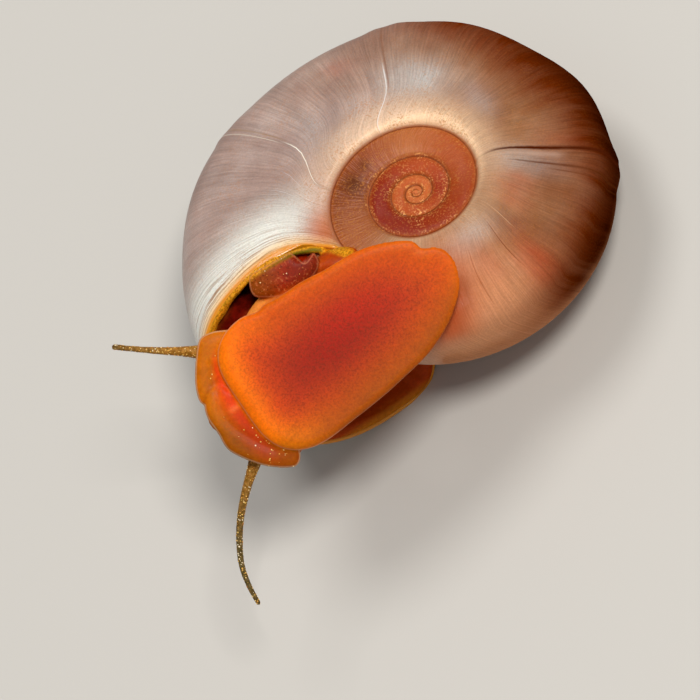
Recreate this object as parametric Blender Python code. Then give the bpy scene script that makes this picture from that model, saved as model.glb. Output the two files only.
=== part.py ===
"""Seminole ramshorn, a freshwater snail with a flat coiled shell, at life size.

The animal creeps with its sole towards the viewer, so it is modelled in a sole frame: X to the right and
Y up across the sole, Z out of the sole, lengths in millimetres, with the apex of the shell at the origin.
An empty then lays it on the floor on the far side of its shell, and turns millimetres into metres.
"""

import math

import bmesh
import bpy
import numpy as np
from mathutils import Matrix, Vector

gap = 0.3

# Shell: one growing section swept round the coil axis.
lip_radius = 11.44
growth_per_turn = 0.591
early_growth = 0.16
early_from = 1.9
turns = 3.75
rows_per_turn = 48
section_power = 2.53
section_out = 0.504
section_in = 0.26
section_near = 0.262
section_far = 0.501
section_drop = 0.193
coil_tilt = math.radians(36.4)
coil_turn = math.radians(120.3)
lip_angle = math.radians(217.9)
lip_slant = math.tan(math.radians(25.5))
lip_lead = math.radians(31.4)
slant_turns = 0.3
wall = 0.5
cavity_rows = 10
rest_marks = ((-0.15, 0.1), (-0.295, 0.2), (-0.51, 0.1), (-0.56, 0.15))
rest_width = 0.017
slow_growth = (-0.425, 0.036, 0.05)

# Foot: radii of the sole outline at even angles from its tail end.
# A ring is its depth below the sole, scale, slide towards the head and roundness.
sole_height = 4.6
sole_centre = (-3.29, -6.58)
sole_turn = math.radians(39.0)
sole_radii = (
    6.12, 5.4, 4.35, 3.52, 3.2, 3.18, 3.5, 4.4, 5.06, 4.85,
    4.66, 4.67, 4.3, 3.42, 2.92, 2.78, 2.89, 3.31, 4.16, 5.35,
)
foot_rings = (
    (0.0, 0.93, 0.0, 0.0),
    (0.12, 0.985, 0.0, 0.0),
    (0.32, 1.0, 0.0, 0.0),
    (0.55, 0.97, 0.0, 0.0),
    (0.8, 0.87, -0.1, 0.0),
    (1.15, 0.7, -0.6, 0.2),
    (1.6, 0.55, -1.3, 0.6),
    (2.35, 0.5, -2.03, 1.0),
)
stalk_radius = 2.2
stalk_side = 0.2
tail_lift = 0.14

# Head: a broad pad in front of the foot, radii every 22.5 degrees about its centre.
head_centre = (-3.45, 0.65)
head_top = 4.15
head_radii = (2.5, 2.6, 2.7, 2.85, 3.05, 3.22, 2.95, 2.7, 2.75, 2.96, 3.18, 3.42, 3.3, 3.3, 3.0, 2.6)
head_rings = (
    (0.0, 0.88, 0.0),
    (0.1, 0.96, 0.0),
    (0.35, 1.0, 0.0),
    (0.75, 0.97, 0.05),
    (1.3, 0.86, 0.2),
    (1.9, 0.66, 0.55),
    (2.35, 0.4, 0.95),
)

# Feelers: (x, y, z, radius) from root to tip.
left_feeler = (
    (-8.75, -6.75, 3.0, 0.34),
    (-9.5, -6.74, 3.08, 0.26),
    (-10.85, -6.7, 3.0, 0.18),
    (-11.95, -6.62, 2.85, 0.15),
    (-12.72, -6.54, 2.72, 0.16),
)
right_feeler = (
    (-6.55, -10.55, 2.9, 0.33),
    (-6.82, -11.45, 2.96, 0.25),
    (-7.2, -12.75, 3.0, 0.19),
    (-7.44, -14.5, 2.98, 0.16),
    (-7.38, -15.7, 2.9, 0.15),
    (-6.98, -16.7, 2.8, 0.14),
    (-6.58, -17.38, 2.7, 0.13),
)
eye_radius = 0.16
eye_places = ((-8.15, -6.6, 2.42), (-7.1, -10.0, 2.12))

# Neck, mantle edge and gill fold.
collar_back_rows = 5
collar_thickness = 0.55
collar_ends = (0.5, 0.35)
body_reach = ((0.615, 0.88), (-0.55, -0.06))
stalk_reach = ((0.6, 0.82), (-0.5, -0.12))
neck_rings = (
    ((-4.95, -7.2, -1.3), (0.4, -0.5, 0.77), 1.75),
    ((-4.95, -7.6, 0.1), (0.1, -0.1, 0.98), 2.1),
    ((-5.0, -7.7, 1.2), (0.0, 0.0, 1.0), 2.2),
    ((-5.0, -7.7, 1.93), (0.0, 0.0, 1.0), 2.2),
)
gill_centre = (-5.3, -3.75, 1.45)
gill_size = (1.7, 0.6, 0.4)
gill_turn = math.radians(28.0)

# Rest: the floor's upward direction in the sole frame, and the depth of the worn flats.
floor_up = Vector((-0.428, 0.359, 0.829)).normalized()
flat_depth = 0.15


def clear_scene():
    for obj in list(bpy.data.objects):
        bpy.data.objects.remove(obj, do_unlink=True)


def collection(name):
    made = bpy.data.collections.new(name)
    bpy.context.scene.collection.children.link(made)
    return made


def material(name, colour, roughness):
    made = bpy.data.materials.new(name)
    made.use_nodes = True
    shader = made.node_tree.nodes["Principled BSDF"]
    shader.inputs["Base Color"].default_value = (*colour, 1.0)
    shader.inputs["Roughness"].default_value = roughness
    shader.inputs["Metallic"].default_value = 0.0
    return made


def mesh_object(name, points, faces, owner, finish=None):
    """A closed mesh from points in the sole frame, its faces turned outward."""
    data = bpy.data.meshes.new(name)
    data.from_pydata([tuple(p) for p in points], [], faces)
    work = bmesh.new()
    work.from_mesh(data)
    bmesh.ops.recalc_face_normals(work, faces=work.faces)
    bmesh.ops.triangulate(work, faces=[f for f in work.faces if len(f.verts) > 4])
    work.to_mesh(data)
    work.free()
    data.shade_smooth()
    if finish:
        data.materials.append(finish)
    made = bpy.data.objects.new(name, data)
    owner.objects.link(made)
    return made


def loft(rings, closed_ends=True):
    """Faces of a tube through rings of equal count, with a fan over each end."""
    count = len(rings[0])
    points = [p for ring in rings for p in ring]
    faces = []
    for k in range(len(rings) - 1):
        for j in range(count):
            a = k * count + j
            b = k * count + (j + 1) % count
            faces.append((a, b, b + count, a + count))
    if closed_ends:
        for start in (0, (len(rings) - 1) * count):
            points.append(np.mean(points[start:start + count], axis=0))
            hub = len(points) - 1
            faces += [(start + j, start + (j + 1) % count, hub) for j in range(count)]
    return points, faces


def section_point(angle):
    """Radius from the axis and height along it of the whorl section, for a lip radius of one."""
    cosine = math.cos(angle)
    sine = math.sin(angle)
    half_width = section_out if cosine > 0 else section_in
    half_height = section_near if sine > 0 else section_far
    radius = 1 - section_out + half_width * math.copysign(abs(cosine) ** (2 / section_power), cosine)
    height = -section_drop + half_height * math.copysign(abs(sine) ** (2 / section_power), sine)
    return radius, height


def section_angle(radius, height):
    """The section angle of the ray through a point, and how far outside the section the point lies."""
    across = radius - (1 - section_out)
    along = height + section_drop
    across /= section_out if across > 0 else section_in
    along /= section_near if along > 0 else section_far
    outside = abs(across) ** section_power + abs(along) ** section_power - 1
    sine = math.copysign(abs(along) ** (section_power / 2), along)
    cosine = math.copysign(abs(across) ** (section_power / 2), across)
    return math.atan2(sine, cosine), outside


def inner_point(angle, depth):
    """A section point moved inward by a depth, in shares of the lip radius."""
    step = 1e-3
    ahead = section_point(angle + step)
    behind = section_point(angle - step)
    along = Vector((ahead[0] - behind[0], ahead[1] - behind[1])).normalized()
    radius, height = section_point(angle)
    return radius - depth * along.y, height + depth * along.x


def suture(ratio, depth, near):
    """Where the section, moved in by a depth, meets the whorl before it, as the angles on both."""
    low, high = (math.pi / 2, math.pi) if near else (-math.pi / 2, -math.pi)
    for _ in range(40):
        middle = (low + high) / 2
        radius, height = inner_point(middle, depth)
        if section_angle(radius * ratio, height * ratio)[1] > 0:
            low = middle
        else:
            high = middle
    radius, height = inner_point(low, depth)
    return low, section_angle(radius * ratio, height * ratio)[0]


def ease(share):
    share = min(1.0, max(0.0, share))
    return share * share * (3 - 2 * share)


def whorl_size(turn):
    """Distance from the axis to the outer edge, at a number of turns behind the lip (negative)."""
    early = max(0.0, -turn - early_from)
    return lip_radius * math.exp(growth_per_turn * turn - early_growth * early * early)


def lip_shift(radius, height):
    """How far the growing edge lies ahead of the radial plane, in radians."""
    above = height + section_drop
    lead = lip_lead * math.exp(-(((radius - 0.25) / 0.18) ** 2))
    if above < 0:
        lead *= math.exp(-((above / 0.1) ** 2))
    return -lip_slant * above / max(radius, 0.3) + lead


coil_to_sole = (
    Matrix.Rotation(coil_turn, 3, "Z")
    @ Matrix.Rotation(coil_tilt, 3, "Y")
    @ Matrix.Rotation(-coil_turn, 3, "Z")
)


def shell_point(turn, shift, radius, height):
    """A point of the coil in the sole frame. Rest marks raise the surface where growth had paused."""
    place = turn + shift / math.tau
    size = whorl_size(place)
    angle = lip_angle + place * math.tau
    grown = place - lip_shift(radius, height) / math.tau
    swell = sum(rise * math.exp(-(((grown - mark) / rest_width) ** 2)) for mark, rise in rest_marks)
    swell -= size * slow_growth[1] * math.exp(-(((grown - slow_growth[0]) / slow_growth[2]) ** 2))
    size += swell * min(1.0, max(0.0, (radius - 0.35) * 3))
    flat = (size * radius * math.cos(angle), size * radius * math.sin(angle), size * height)
    return coil_to_sole @ Vector(flat)


class Coil:
    """Rows of section points round the coil, welded along both sutures."""

    near_columns = 5
    covered_columns = 12

    def __init__(self):
        self.rows = round(turns * rows_per_turn)
        self.points = []
        self.faces = []
        self.grid = {}
        self.joints = {}
        self.wall_share = wall / lip_radius

    def turn(self, row):
        return (row - self.rows) / rows_per_turn

    def ramp(self, row):
        return ease(1 + self.turn(row) / slant_turns)

    def ratio(self, row):
        return whorl_size(self.turn(row)) / whorl_size(self.turn(row) - 1)

    def add(self, point):
        self.points.append(point)
        return len(self.points) - 1

    def meeting(self, row):
        """Angles of both sutures of a row: on its own whorl, and on the whorl that it covers."""
        key = round(self.ratio(row), 5)
        if key not in self.joints:
            near, under_near = suture(key, 0.0, True)
            far, under_far = suture(key, 0.0, False)
            inner_near, lumen_near = suture(key, self.wall_share, True)
            inner_far, lumen_far = suture(key, self.wall_share, False)
            own = (near, far, inner_near, inner_far)
            self.joints[key] = own + (under_near, lumen_near, lumen_far, under_far)
        return self.joints[key]

    def columns(self, row):
        """Section angles and edge shifts of a row, from the near suture round to the far one."""
        near, far = self.meeting(row)[:2]
        over = min(row + rows_per_turn, self.rows)
        cover = self.meeting(over)
        under_near, lumen_near, lumen_far, under_far = cover[4:]
        angles = list(np.linspace(near, under_near, self.near_columns + 1))
        angles += list(np.linspace(lumen_near, lumen_far, self.covered_columns + 1))
        angles += list(np.linspace(under_far, far, self.near_columns + 1))
        own = self.ramp(row)
        ahead = self.ramp(over) * ease(1 - max(0.0, self.turn(row) + 1) / slant_turns)
        near_shift = ahead * lip_shift(*section_point(cover[0]))
        far_shift = ahead * lip_shift(*section_point(cover[1]))
        knots = [far, under_far, under_near, near]
        shifts = np.interp(angles, knots, [0.0, far_shift, near_shift, 0.0])
        for j, angle in enumerate(angles):
            shifts[j] += own * lip_shift(*section_point(angle))
        return angles, shifts

    def outer_row(self, row):
        """Indices of a row of the outer surface, its first and last shared with the whorl below."""
        angles, shifts = self.columns(row)
        last = len(angles) - 1
        found = []
        for j, (angle, shift) in enumerate(zip(angles, shifts)):
            welded = row >= rows_per_turn and j in (0, last)
            if welded:
                below = self.grid[row - rows_per_turn]
                found.append(below[self.near_columns if j == 0 else last - self.near_columns])
            else:
                found.append(self.add(shell_point(self.turn(row), shift, *section_point(angle))))
        self.grid[row] = found

    def lining_row(self, row):
        """Indices of a row of the cavity wall, from the near side round to the far side."""
        inner_near, inner_far = self.meeting(row)[2:4]
        below = self.grid[row - rows_per_turn]
        first = self.near_columns + 1
        found = [below[first]]
        count = len(below) - 1
        for angle in np.linspace(inner_near, inner_far, count + 1)[1:-1]:
            shift = self.ramp(row) * lip_shift(*section_point(angle))
            found.append(self.add(shell_point(self.turn(row), shift, *inner_point(angle, self.wall_share))))
        found.append(below[first + self.covered_columns])
        return found

    def strip(self, one, two, start=0, end=None):
        for j in range(start, len(one) - 1 if end is None else end):
            self.faces.append((one[j], one[j + 1], two[j + 1], two[j]))

    def fan(self, loop):
        hub = self.add(sum((self.points[i] for i in loop), Vector()) / len(loop))
        self.faces += [(loop[k], loop[(k + 1) % len(loop)], hub) for k in range(len(loop))]

    def build(self):
        for row in range(self.rows + 1):
            self.outer_row(row)
        last_column = len(self.grid[0]) - 1
        first = self.near_columns
        open_from = self.rows - rows_per_turn
        deepest = self.rows - cavity_rows
        self.lining = {row: self.lining_row(row) for row in range(deepest, self.rows + 1)}
        for row in range(self.rows):
            here, following = self.grid[row], self.grid[row + 1]
            self.strip(here, following, 0, first)
            self.strip(here, following, last_column - first, last_column)
            if row >= open_from:
                self.strip(here, following, first, last_column - first)
            elif row >= deepest - rows_per_turn:
                self.strip(here, following, first + 1, last_column - first - 1)
        for row in range(deepest, self.rows):
            self.strip(self.lining[row], self.lining[row + 1])
        self.strip(self.grid[self.rows], self.lining[self.rows])
        floor = self.grid[deepest - rows_per_turn][first + 1:last_column - first]
        self.fan(self.lining[deepest] + floor[-2:0:-1])
        near_loop = [self.grid[row][0] for row in range(rows_per_turn)] + self.grid[0][first:0:-1]
        far_loop = [self.grid[row][last_column] for row in range(rows_per_turn)]
        self.fan(near_loop)
        self.fan(far_loop + self.grid[0][last_column - first:last_column])


def body_axes():
    along = Vector((math.cos(sole_turn), math.sin(sole_turn), 0))
    return Vector((*sole_centre, 0)), along, Vector((-along.y, along.x, 0))


def pad_ring(centre, radii, height, count):
    """A ring of a flat soft pad at a centre along and across the body, radii given at even angles."""
    middle, along, across = body_axes()
    middle = middle + along * centre[0] + across * centre[1]
    spectrum = np.fft.rfft(np.array(radii))
    ring = []
    for k in range(count):
        angle = math.tau * k / count
        terms = [c * np.exp(1j * angle * n) for n, c in enumerate(spectrum)]
        radius = (terms[0] + 2 * sum(terms[1:-1]) + terms[-1]).real / len(radii)
        out = along * math.cos(angle) + across * math.sin(angle)
        ring.append(middle + out * radius + Vector((0, 0, height)))
    return ring


def foot_shape(count=40):
    """The creeping foot: a flat sole, a rounded margin and a stalk behind it."""
    middle, along, across = body_axes()
    rings = []
    for depth, scale, slide, roundness in foot_rings:
        radii = np.array(sole_radii) * scale * (1 - roundness) + stalk_radius * roundness
        ring = pad_ring((slide, stalk_side * roundness), radii, sole_height - depth, count)
        for p in ring:
            p.z += tail_lift * depth * (1 - roundness) * max(0.0, (p - middle).dot(along))
        rings.append(ring)
    return loft(rings)


def head_shape(count=32):
    """The head with its broad lip, flat where the mouth meets the surface it grazes."""
    rings = []
    for depth, scale, slide in head_rings:
        centre = (head_centre[0] + slide, head_centre[1])
        rings.append(pad_ring(centre, np.array(head_radii) * scale, head_top - depth, count))
    return loft(rings)


def row_point(coil, row, radius, height):
    """A point inside the whorl at a row, which leans with the growing edge near the lip."""
    shift = coil.ramp(row) * lip_shift(radius, height)
    return shell_point(coil.turn(row), shift, radius, height)


def collar_shape(coil, count=30):
    """The mantle edge: a band of soft tissue that lines the lip from one suture to the other."""
    near, far = coil.meeting(coil.rows)[2:4]
    angles = np.linspace(near - collar_ends[0], far + collar_ends[1], count)
    outer = (wall + gap) / lip_radius
    inner = outer + collar_thickness / lip_radius
    rings = []
    for angle in angles:
        rows = list(range(coil.rows - collar_back_rows, coil.rows + 1))
        ring = [row_point(coil, row, *inner_point(angle, outer)) for row in rows]
        ring += [row_point(coil, row, *inner_point(angle, inner)) for row in rows[::-1]]
        rings.append(ring)
    return loft(rings)


def oval_row(coil, row, reach, count):
    """An oval ring within the whorl, between two radii and two heights."""
    (low, high), (down, up) = reach
    ring = []
    for angle in np.linspace(-math.pi, math.pi, count, endpoint=False):
        radius = (low + high) / 2 + (high - low) / 2 * math.cos(angle)
        height = (down + up) / 2 + (up - down) / 2 * math.sin(angle)
        ring.append(row_point(coil, row, radius, height))
    return ring


def neck_shape(coil, count=32):
    """The body stalk, from deep inside the last whorl to the back of the foot."""
    rings = []
    behind = coil.rows - collar_back_rows - 1
    for row in range(coil.rows - cavity_rows + 1, coil.rows - 1):
        rings.append(oval_row(coil, row, body_reach if row < behind else stalk_reach, count))
    out = coil_to_sole @ Vector((math.cos(lip_angle), math.sin(lip_angle), 0))
    for centre, direction, radius in neck_rings:
        direction = Vector(direction).normalized()
        first = (out - direction * out.dot(direction)).normalized()
        second = first.cross(direction)
        ring = []
        for angle in np.linspace(-math.pi, math.pi, count, endpoint=False):
            ring.append(Vector(centre) + radius * (first * math.cos(angle) + second * math.sin(angle)))
        rings.append(ring)
    return loft(rings)


def ball(name, centre, size, turn, owner, finish, segments=24):
    """A rounded solid from a sphere, with its own radii and a turn about the sole's normal."""
    data = bpy.data.meshes.new(name)
    work = bmesh.new()
    bmesh.ops.create_uvsphere(work, u_segments=segments, v_segments=segments // 2, radius=1.0)
    place = Matrix.Translation(centre) @ Matrix.Rotation(turn, 4, "Z") @ Matrix.Diagonal((*size, 1.0))
    bmesh.ops.transform(work, matrix=place, verts=work.verts)
    work.to_mesh(data)
    work.free()
    data.shade_smooth()
    if finish:
        data.materials.append(finish)
    made = bpy.data.objects.new(name, data)
    owner.objects.link(made)
    return made


def feeler(name, stations, owner, finish):
    """A thread-like tentacle: a smooth curve with a bevel that narrows to the tip."""
    curve = bpy.data.curves.new(name, "CURVE")
    curve.dimensions = "3D"
    curve.bevel_depth = 1.0
    curve.bevel_resolution = 2
    curve.use_fill_caps = True
    places = np.array(stations)
    knots = np.arange(len(places))
    fine = np.linspace(0, len(places) - 1, 4 * len(places))
    spline = curve.splines.new("POLY")
    spline.points.add(len(fine) - 1)
    for k, t in enumerate(fine):
        weights = np.exp(-(((knots - t) / 0.55) ** 2))
        if t < 0.5 or t > len(places) - 1.5:
            value = [np.interp(t, knots, places[:, c]) for c in range(4)]
        else:
            value = weights @ places / weights.sum()
        spline.points[k].co = (*value[:3], 1.0)
        spline.points[k].radius = value[3]
    raw = bpy.data.objects.new(name + "_curve", curve)
    bpy.context.scene.collection.objects.link(raw)
    bpy.context.view_layer.update()
    data = bpy.data.meshes.new_from_object(raw.evaluated_get(bpy.context.evaluated_depsgraph_get()))
    bpy.data.objects.remove(raw, do_unlink=True)
    work = bmesh.new()
    work.from_mesh(data)
    bmesh.ops.remove_doubles(work, verts=work.verts, dist=1e-4)
    bmesh.ops.recalc_face_normals(work, faces=work.faces)
    work.to_mesh(data)
    work.free()
    data.name = name
    data.shade_smooth()
    data.materials.clear()
    if finish:
        data.materials.append(finish)
    made = bpy.data.objects.new(name, data)
    owner.objects.link(made)
    return made


def room_for(obj, owner):
    """A cutter: the object swollen by the gap on every side."""
    data = obj.data.copy()
    work = bmesh.new()
    work.from_mesh(data)
    work.normal_update()
    moves = [(v, v.normal * gap * v.calc_shell_factor()) for v in work.verts]
    for v, move in moves:
        v.co += move
    work.to_mesh(data)
    work.free()
    data.materials.clear()
    made = bpy.data.objects.new("room_for_" + obj.name, data)
    owner.objects.link(made)
    made.hide_render = True
    made.display_type = "WIRE"
    return made


def cut(target, cutter):
    modifier = target.modifiers.new("cut_" + cutter.name, "BOOLEAN")
    modifier.operation = "DIFFERENCE"
    modifier.solver = "EXACT"
    modifier.object = cutter


def largest_piece(obj):
    """Applies the cuts and keeps the largest closed surface that they leave."""
    bpy.context.view_layer.update()
    cut_data = bpy.data.meshes.new_from_object(obj.evaluated_get(bpy.context.evaluated_depsgraph_get()))
    work = bmesh.new()
    work.from_mesh(cut_data)
    bmesh.ops.remove_doubles(work, verts=work.verts, dist=1e-4)
    left = set(work.verts)
    pieces = []
    while left:
        piece = {left.pop()}
        edge = set(piece)
        while edge:
            edge = {e.other_vert(v) for v in edge for e in v.link_edges} - piece
            piece |= edge
        left -= piece
        pieces.append(piece)
    pieces.sort(key=len)
    bmesh.ops.delete(work, geom=[v for piece in pieces[:-1] for v in piece], context="VERTS")
    work.to_mesh(cut_data)
    work.free()
    cut_data.shade_smooth()
    obj.modifiers.clear()
    obj.data = cut_data


def floor_pose(points):
    """The matrix that lays the animal down: floor direction up, sole towards the front, in metres."""
    up = floor_up
    ahead = Vector((0, 0, -1))
    ahead = (ahead - up * ahead.dot(up)).normalized()
    right = ahead.cross(up)
    turn = Matrix((right, ahead, up)).to_4x4()
    laid = np.array(points) @ np.array(turn.to_3x3()).T
    low, high = laid.min(axis=0), laid.max(axis=0)
    shift = Vector((-(low[0] + high[0]) / 2, -(low[1] + high[1]) / 2, -low[2] - flat_depth))
    return Matrix.Scale(0.001, 4) @ Matrix.Translation(shift) @ turn


def main():
    clear_scene()
    parts = collection("seminole_ramshorn_snail")
    cutters = collection("cutters")
    nacre = material("shell_nacre", (0.62, 0.5, 0.48), 0.3)
    sole_flesh = material("foot_flesh", (0.8, 0.16, 0.03), 0.35)
    head_flesh = material("head_flesh", (0.75, 0.13, 0.03), 0.35)
    body_flesh = material("body_flesh", (0.5, 0.07, 0.02), 0.4)
    mantle_flesh = material("mantle_flesh", (0.7, 0.35, 0.08), 0.35)
    feeler_flesh = material("feeler_flesh", (0.42, 0.3, 0.2), 0.35)
    eye_black = material("eye_black", (0.01, 0.01, 0.01), 0.15)

    coil = Coil()
    coil.build()
    shell = mesh_object("shell", coil.points, coil.faces, parts, nacre)
    foot = mesh_object("foot", *foot_shape(), parts, sole_flesh)
    head = mesh_object("head", *head_shape(), parts, head_flesh)
    neck = mesh_object("neck", *neck_shape(coil), parts, body_flesh)
    collar = mesh_object("mantle_collar", *collar_shape(coil), parts, mantle_flesh)
    gill = ball("gill_fold", gill_centre, gill_size, gill_turn, parts, mantle_flesh)
    left = feeler("tentacle_left", left_feeler, parts, feeler_flesh)
    right = feeler("tentacle_right", right_feeler, parts, feeler_flesh)
    made = [shell, foot, head, neck, collar, gill, left, right]

    for side, place in zip(("left", "right"), eye_places):
        made.append(ball("eye_" + side, place, (eye_radius,) * 3, 0.0, parts, eye_black, 16))
    helpers = [room_for(obj, cutters) for obj in (foot, neck, left, right, *made[-2:])]
    for room in helpers:
        cut(head, room)
    largest_piece(head)

    pose = bpy.data.objects.new("floor_pose", None)
    parts.objects.link(pose)
    reach = [v.co for obj in made for v in obj.data.vertices]
    pose.matrix_world = floor_pose(reach)
    for obj in made + helpers:
        obj.parent = pose

    bpy.ops.mesh.primitive_cube_add(size=0.06, location=(0, 0, -0.03))
    floor = bpy.context.object
    floor.name = "floor_room"
    floor.hide_render = True
    floor.display_type = "WIRE"
    for owner in list(floor.users_collection):
        owner.objects.unlink(floor)
    cutters.objects.link(floor)
    cut(shell, floor)


main()
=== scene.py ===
import math

import bmesh
import bpy
import numpy as np
from mathutils import Matrix, Vector
from mathutils.bvhtree import BVHTree


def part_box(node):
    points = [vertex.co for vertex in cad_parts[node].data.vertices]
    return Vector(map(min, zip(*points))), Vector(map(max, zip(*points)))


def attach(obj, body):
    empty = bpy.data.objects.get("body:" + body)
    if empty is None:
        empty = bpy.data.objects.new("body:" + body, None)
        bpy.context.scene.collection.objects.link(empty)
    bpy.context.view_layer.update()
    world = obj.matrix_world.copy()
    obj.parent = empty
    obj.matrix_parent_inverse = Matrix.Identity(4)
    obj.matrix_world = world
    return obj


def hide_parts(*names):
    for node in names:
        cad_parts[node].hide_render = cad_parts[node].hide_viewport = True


# A seminole ramshorn at life size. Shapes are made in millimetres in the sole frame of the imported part:
# X right and Y up across the sole, Z out of it, with the apex of the shell at the origin.

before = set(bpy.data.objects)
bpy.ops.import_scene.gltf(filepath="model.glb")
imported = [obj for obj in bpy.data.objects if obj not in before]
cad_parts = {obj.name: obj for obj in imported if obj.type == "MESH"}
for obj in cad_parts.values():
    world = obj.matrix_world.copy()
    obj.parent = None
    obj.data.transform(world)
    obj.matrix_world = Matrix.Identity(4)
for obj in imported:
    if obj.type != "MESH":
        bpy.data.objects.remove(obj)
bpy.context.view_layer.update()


def toLinear(code):  # sRGB hex, or a bare number for grey, to the linear colour a shader takes
    if not isinstance(code, str):
        return (code, code, code, 1.0)
    parts = [int(code[k:k + 2], 16) / 255 for k in (1, 3, 5)]
    return tuple(p / 12.92 if p <= 0.04045 else ((p + 0.055) / 1.055) ** 2.4 for p in parts) + (1.0,)


def fillInputs(tree, node, inputs):  # each input takes a node, a socket, a hex colour or a plain value
    for name, value in inputs.items():
        if isinstance(value, bpy.types.Node):
            value = next(socket for socket in value.outputs if socket.enabled)
        if isinstance(value, bpy.types.NodeSocket):
            tree.links.new(value, node.inputs[name])
        elif isinstance(value, str) and value.startswith("#"):
            node.inputs[name].default_value = toLinear(value)
        else:
            node.inputs[name].default_value = value


def addNode(tree, kind, settings=None, inputs=None):
    node = tree.nodes.new(kind)
    for name, value in (settings or {}).items():
        if name == "stops":
            ramp = node.color_ramp.elements
            while len(ramp) < len(value):
                ramp.new(0.5)
            for element, (place, colour) in zip(ramp, value):
                element.position = place
                element.color = toLinear(colour)
        else:
            setattr(node, name, value)
    fillInputs(tree, node, inputs or {})
    return node


def newMaterial(name):
    made = bpy.data.materials.new(name)
    made.use_nodes = True
    return made, made.node_tree, made.node_tree.nodes["Principled BSDF"]


# Node kinds and settings that recur.
mathNode = "ShaderNodeMath"
mixNode = "ShaderNodeMix"
rampNode = "ShaderNodeValToRGB"
rangeNode = "ShaderNodeMapRange"
noiseNode = "ShaderNodeTexNoise"
times = {"operation": "MULTIPLY"}
timesClamped = {"operation": "MULTIPLY", "use_clamp": True}
timesPlus = {"operation": "MULTIPLY_ADD"}
plus = {"operation": "ADD"}
minus = {"operation": "SUBTRACT"}
absolute = {"operation": "ABSOLUTE"}
blend = {"data_type": "RGBA", "blend_type": "MIX"}
multiply = {"data_type": "RGBA", "blend_type": "MULTIPLY"}
eased = {"interpolation_type": "SMOOTHSTEP"}


def newTree(name, *sockets):  # a geometry tree with its named inputs
    tree = bpy.data.node_groups.new(name, "GeometryNodeTree")
    for label, kind in (("Geometry", "Geometry"), *sockets, ("Finish", "Material")):
        tree.interface.new_socket(label, in_out="INPUT", socket_type="NodeSocket" + kind)
    tree.interface.new_socket("Geometry", in_out="OUTPUT", socket_type="NodeSocketGeometry")
    return tree, addNode(tree, "NodeGroupInput").outputs


def endTree(tree, shape, finish):
    real = addNode(tree, "GeometryNodeRealizeInstances", None, {"Geometry": shape})
    faced = addNode(tree, "GeometryNodeSetMaterial", None, {"Geometry": real, "Material": finish})
    addNode(tree, "NodeGroupOutput", None, {"Geometry": faced})
    return tree


def readMasks(tree, *names):
    return {name: addNode(tree, "ShaderNodeAttribute", {"attribute_name": name}).outputs["Fac"]
            for name in names}


def noises(tree, *rows):  # of several scales, in the piece's own space; rows are scale, detail, roughness
    place = addNode(tree, "ShaderNodeTexCoord").outputs["Object"]
    made = []
    for scale, detail, roughness in rows:
        inputs = {"Vector": place, "Scale": scale, "Detail": detail, "Roughness": roughness}
        made.append(addNode(tree, noiseNode, None, inputs))
    return made


def linked(name, data):
    made = bpy.data.objects.new(name, data)
    bpy.context.scene.collection.objects.link(made)
    return made


def baked(base):  # the plain mesh of an object with modifiers, which is then removed
    bpy.context.view_layer.update()
    made = bpy.data.meshes.new_from_object(base.evaluated_get(bpy.context.evaluated_depsgraph_get()))
    bpy.data.objects.remove(base, do_unlink=True)
    return made


def smoothStep(value, low, high):
    share = np.clip((value - low) / (high - low), 0.0, 1.0)
    return share * share * (3 - 2 * share)


def bell(value, centre, width):
    return np.exp(-(((value - centre) / width) ** 2))


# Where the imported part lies: the floor's upward direction in the sole frame, and one known place.
rest = {"floorUp": (-0.428, 0.359, 0.829), "leftEye": (-8.15, -6.6, 2.42)}
up = Vector(rest["floorUp"]).normalized()
ahead = Vector((0, 0, -1))
ahead = (ahead - up * ahead.dot(up)).normalized()
laid = Matrix((ahead.cross(up), ahead, up)).to_4x4()
eyeLow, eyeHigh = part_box("eye_left")
eyeAt = (Vector(eyeLow) + Vector(eyeHigh)) / 2
shift = eyeAt - laid @ Vector(rest["leftEye"]) * 0.001
soleToFloor = Matrix.Translation(shift) @ laid @ Matrix.Scale(0.001, 4)
print("frame loaded, part laid on its shell")


def corners(mesh):
    found = np.empty(3 * len(mesh.vertices))
    mesh.vertices.foreach_get("co", found)
    return found.reshape(-1, 3)


def towardViewer(mesh):  # how far each vertex faces out of the sole
    found = np.empty(3 * len(mesh.vertices))
    mesh.vertex_normals.foreach_get("vector", found)
    return found.reshape(-1, 3)[:, 2]


def spot(at, x, y, width):  # a soft round patch
    return bell(np.hypot(at[:, 0] - x, at[:, 1] - y), 0.0, width)


def finished(name, mesh, material, slot, *nodes):  # a piece in metres that stands for CAD nodes
    mesh.transform(soleToFloor)
    at = corners(mesh)
    at[:, 2] = np.maximum(at[:, 2], 0.0)  # worn flat where it rests
    mesh.vertices.foreach_set("co", at.ravel())
    mesh.update()
    piece = linked(name, mesh)
    mesh.materials.clear()
    mesh.materials.append(material)
    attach(piece, "root")
    if nodes:
        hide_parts(*nodes)


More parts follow.
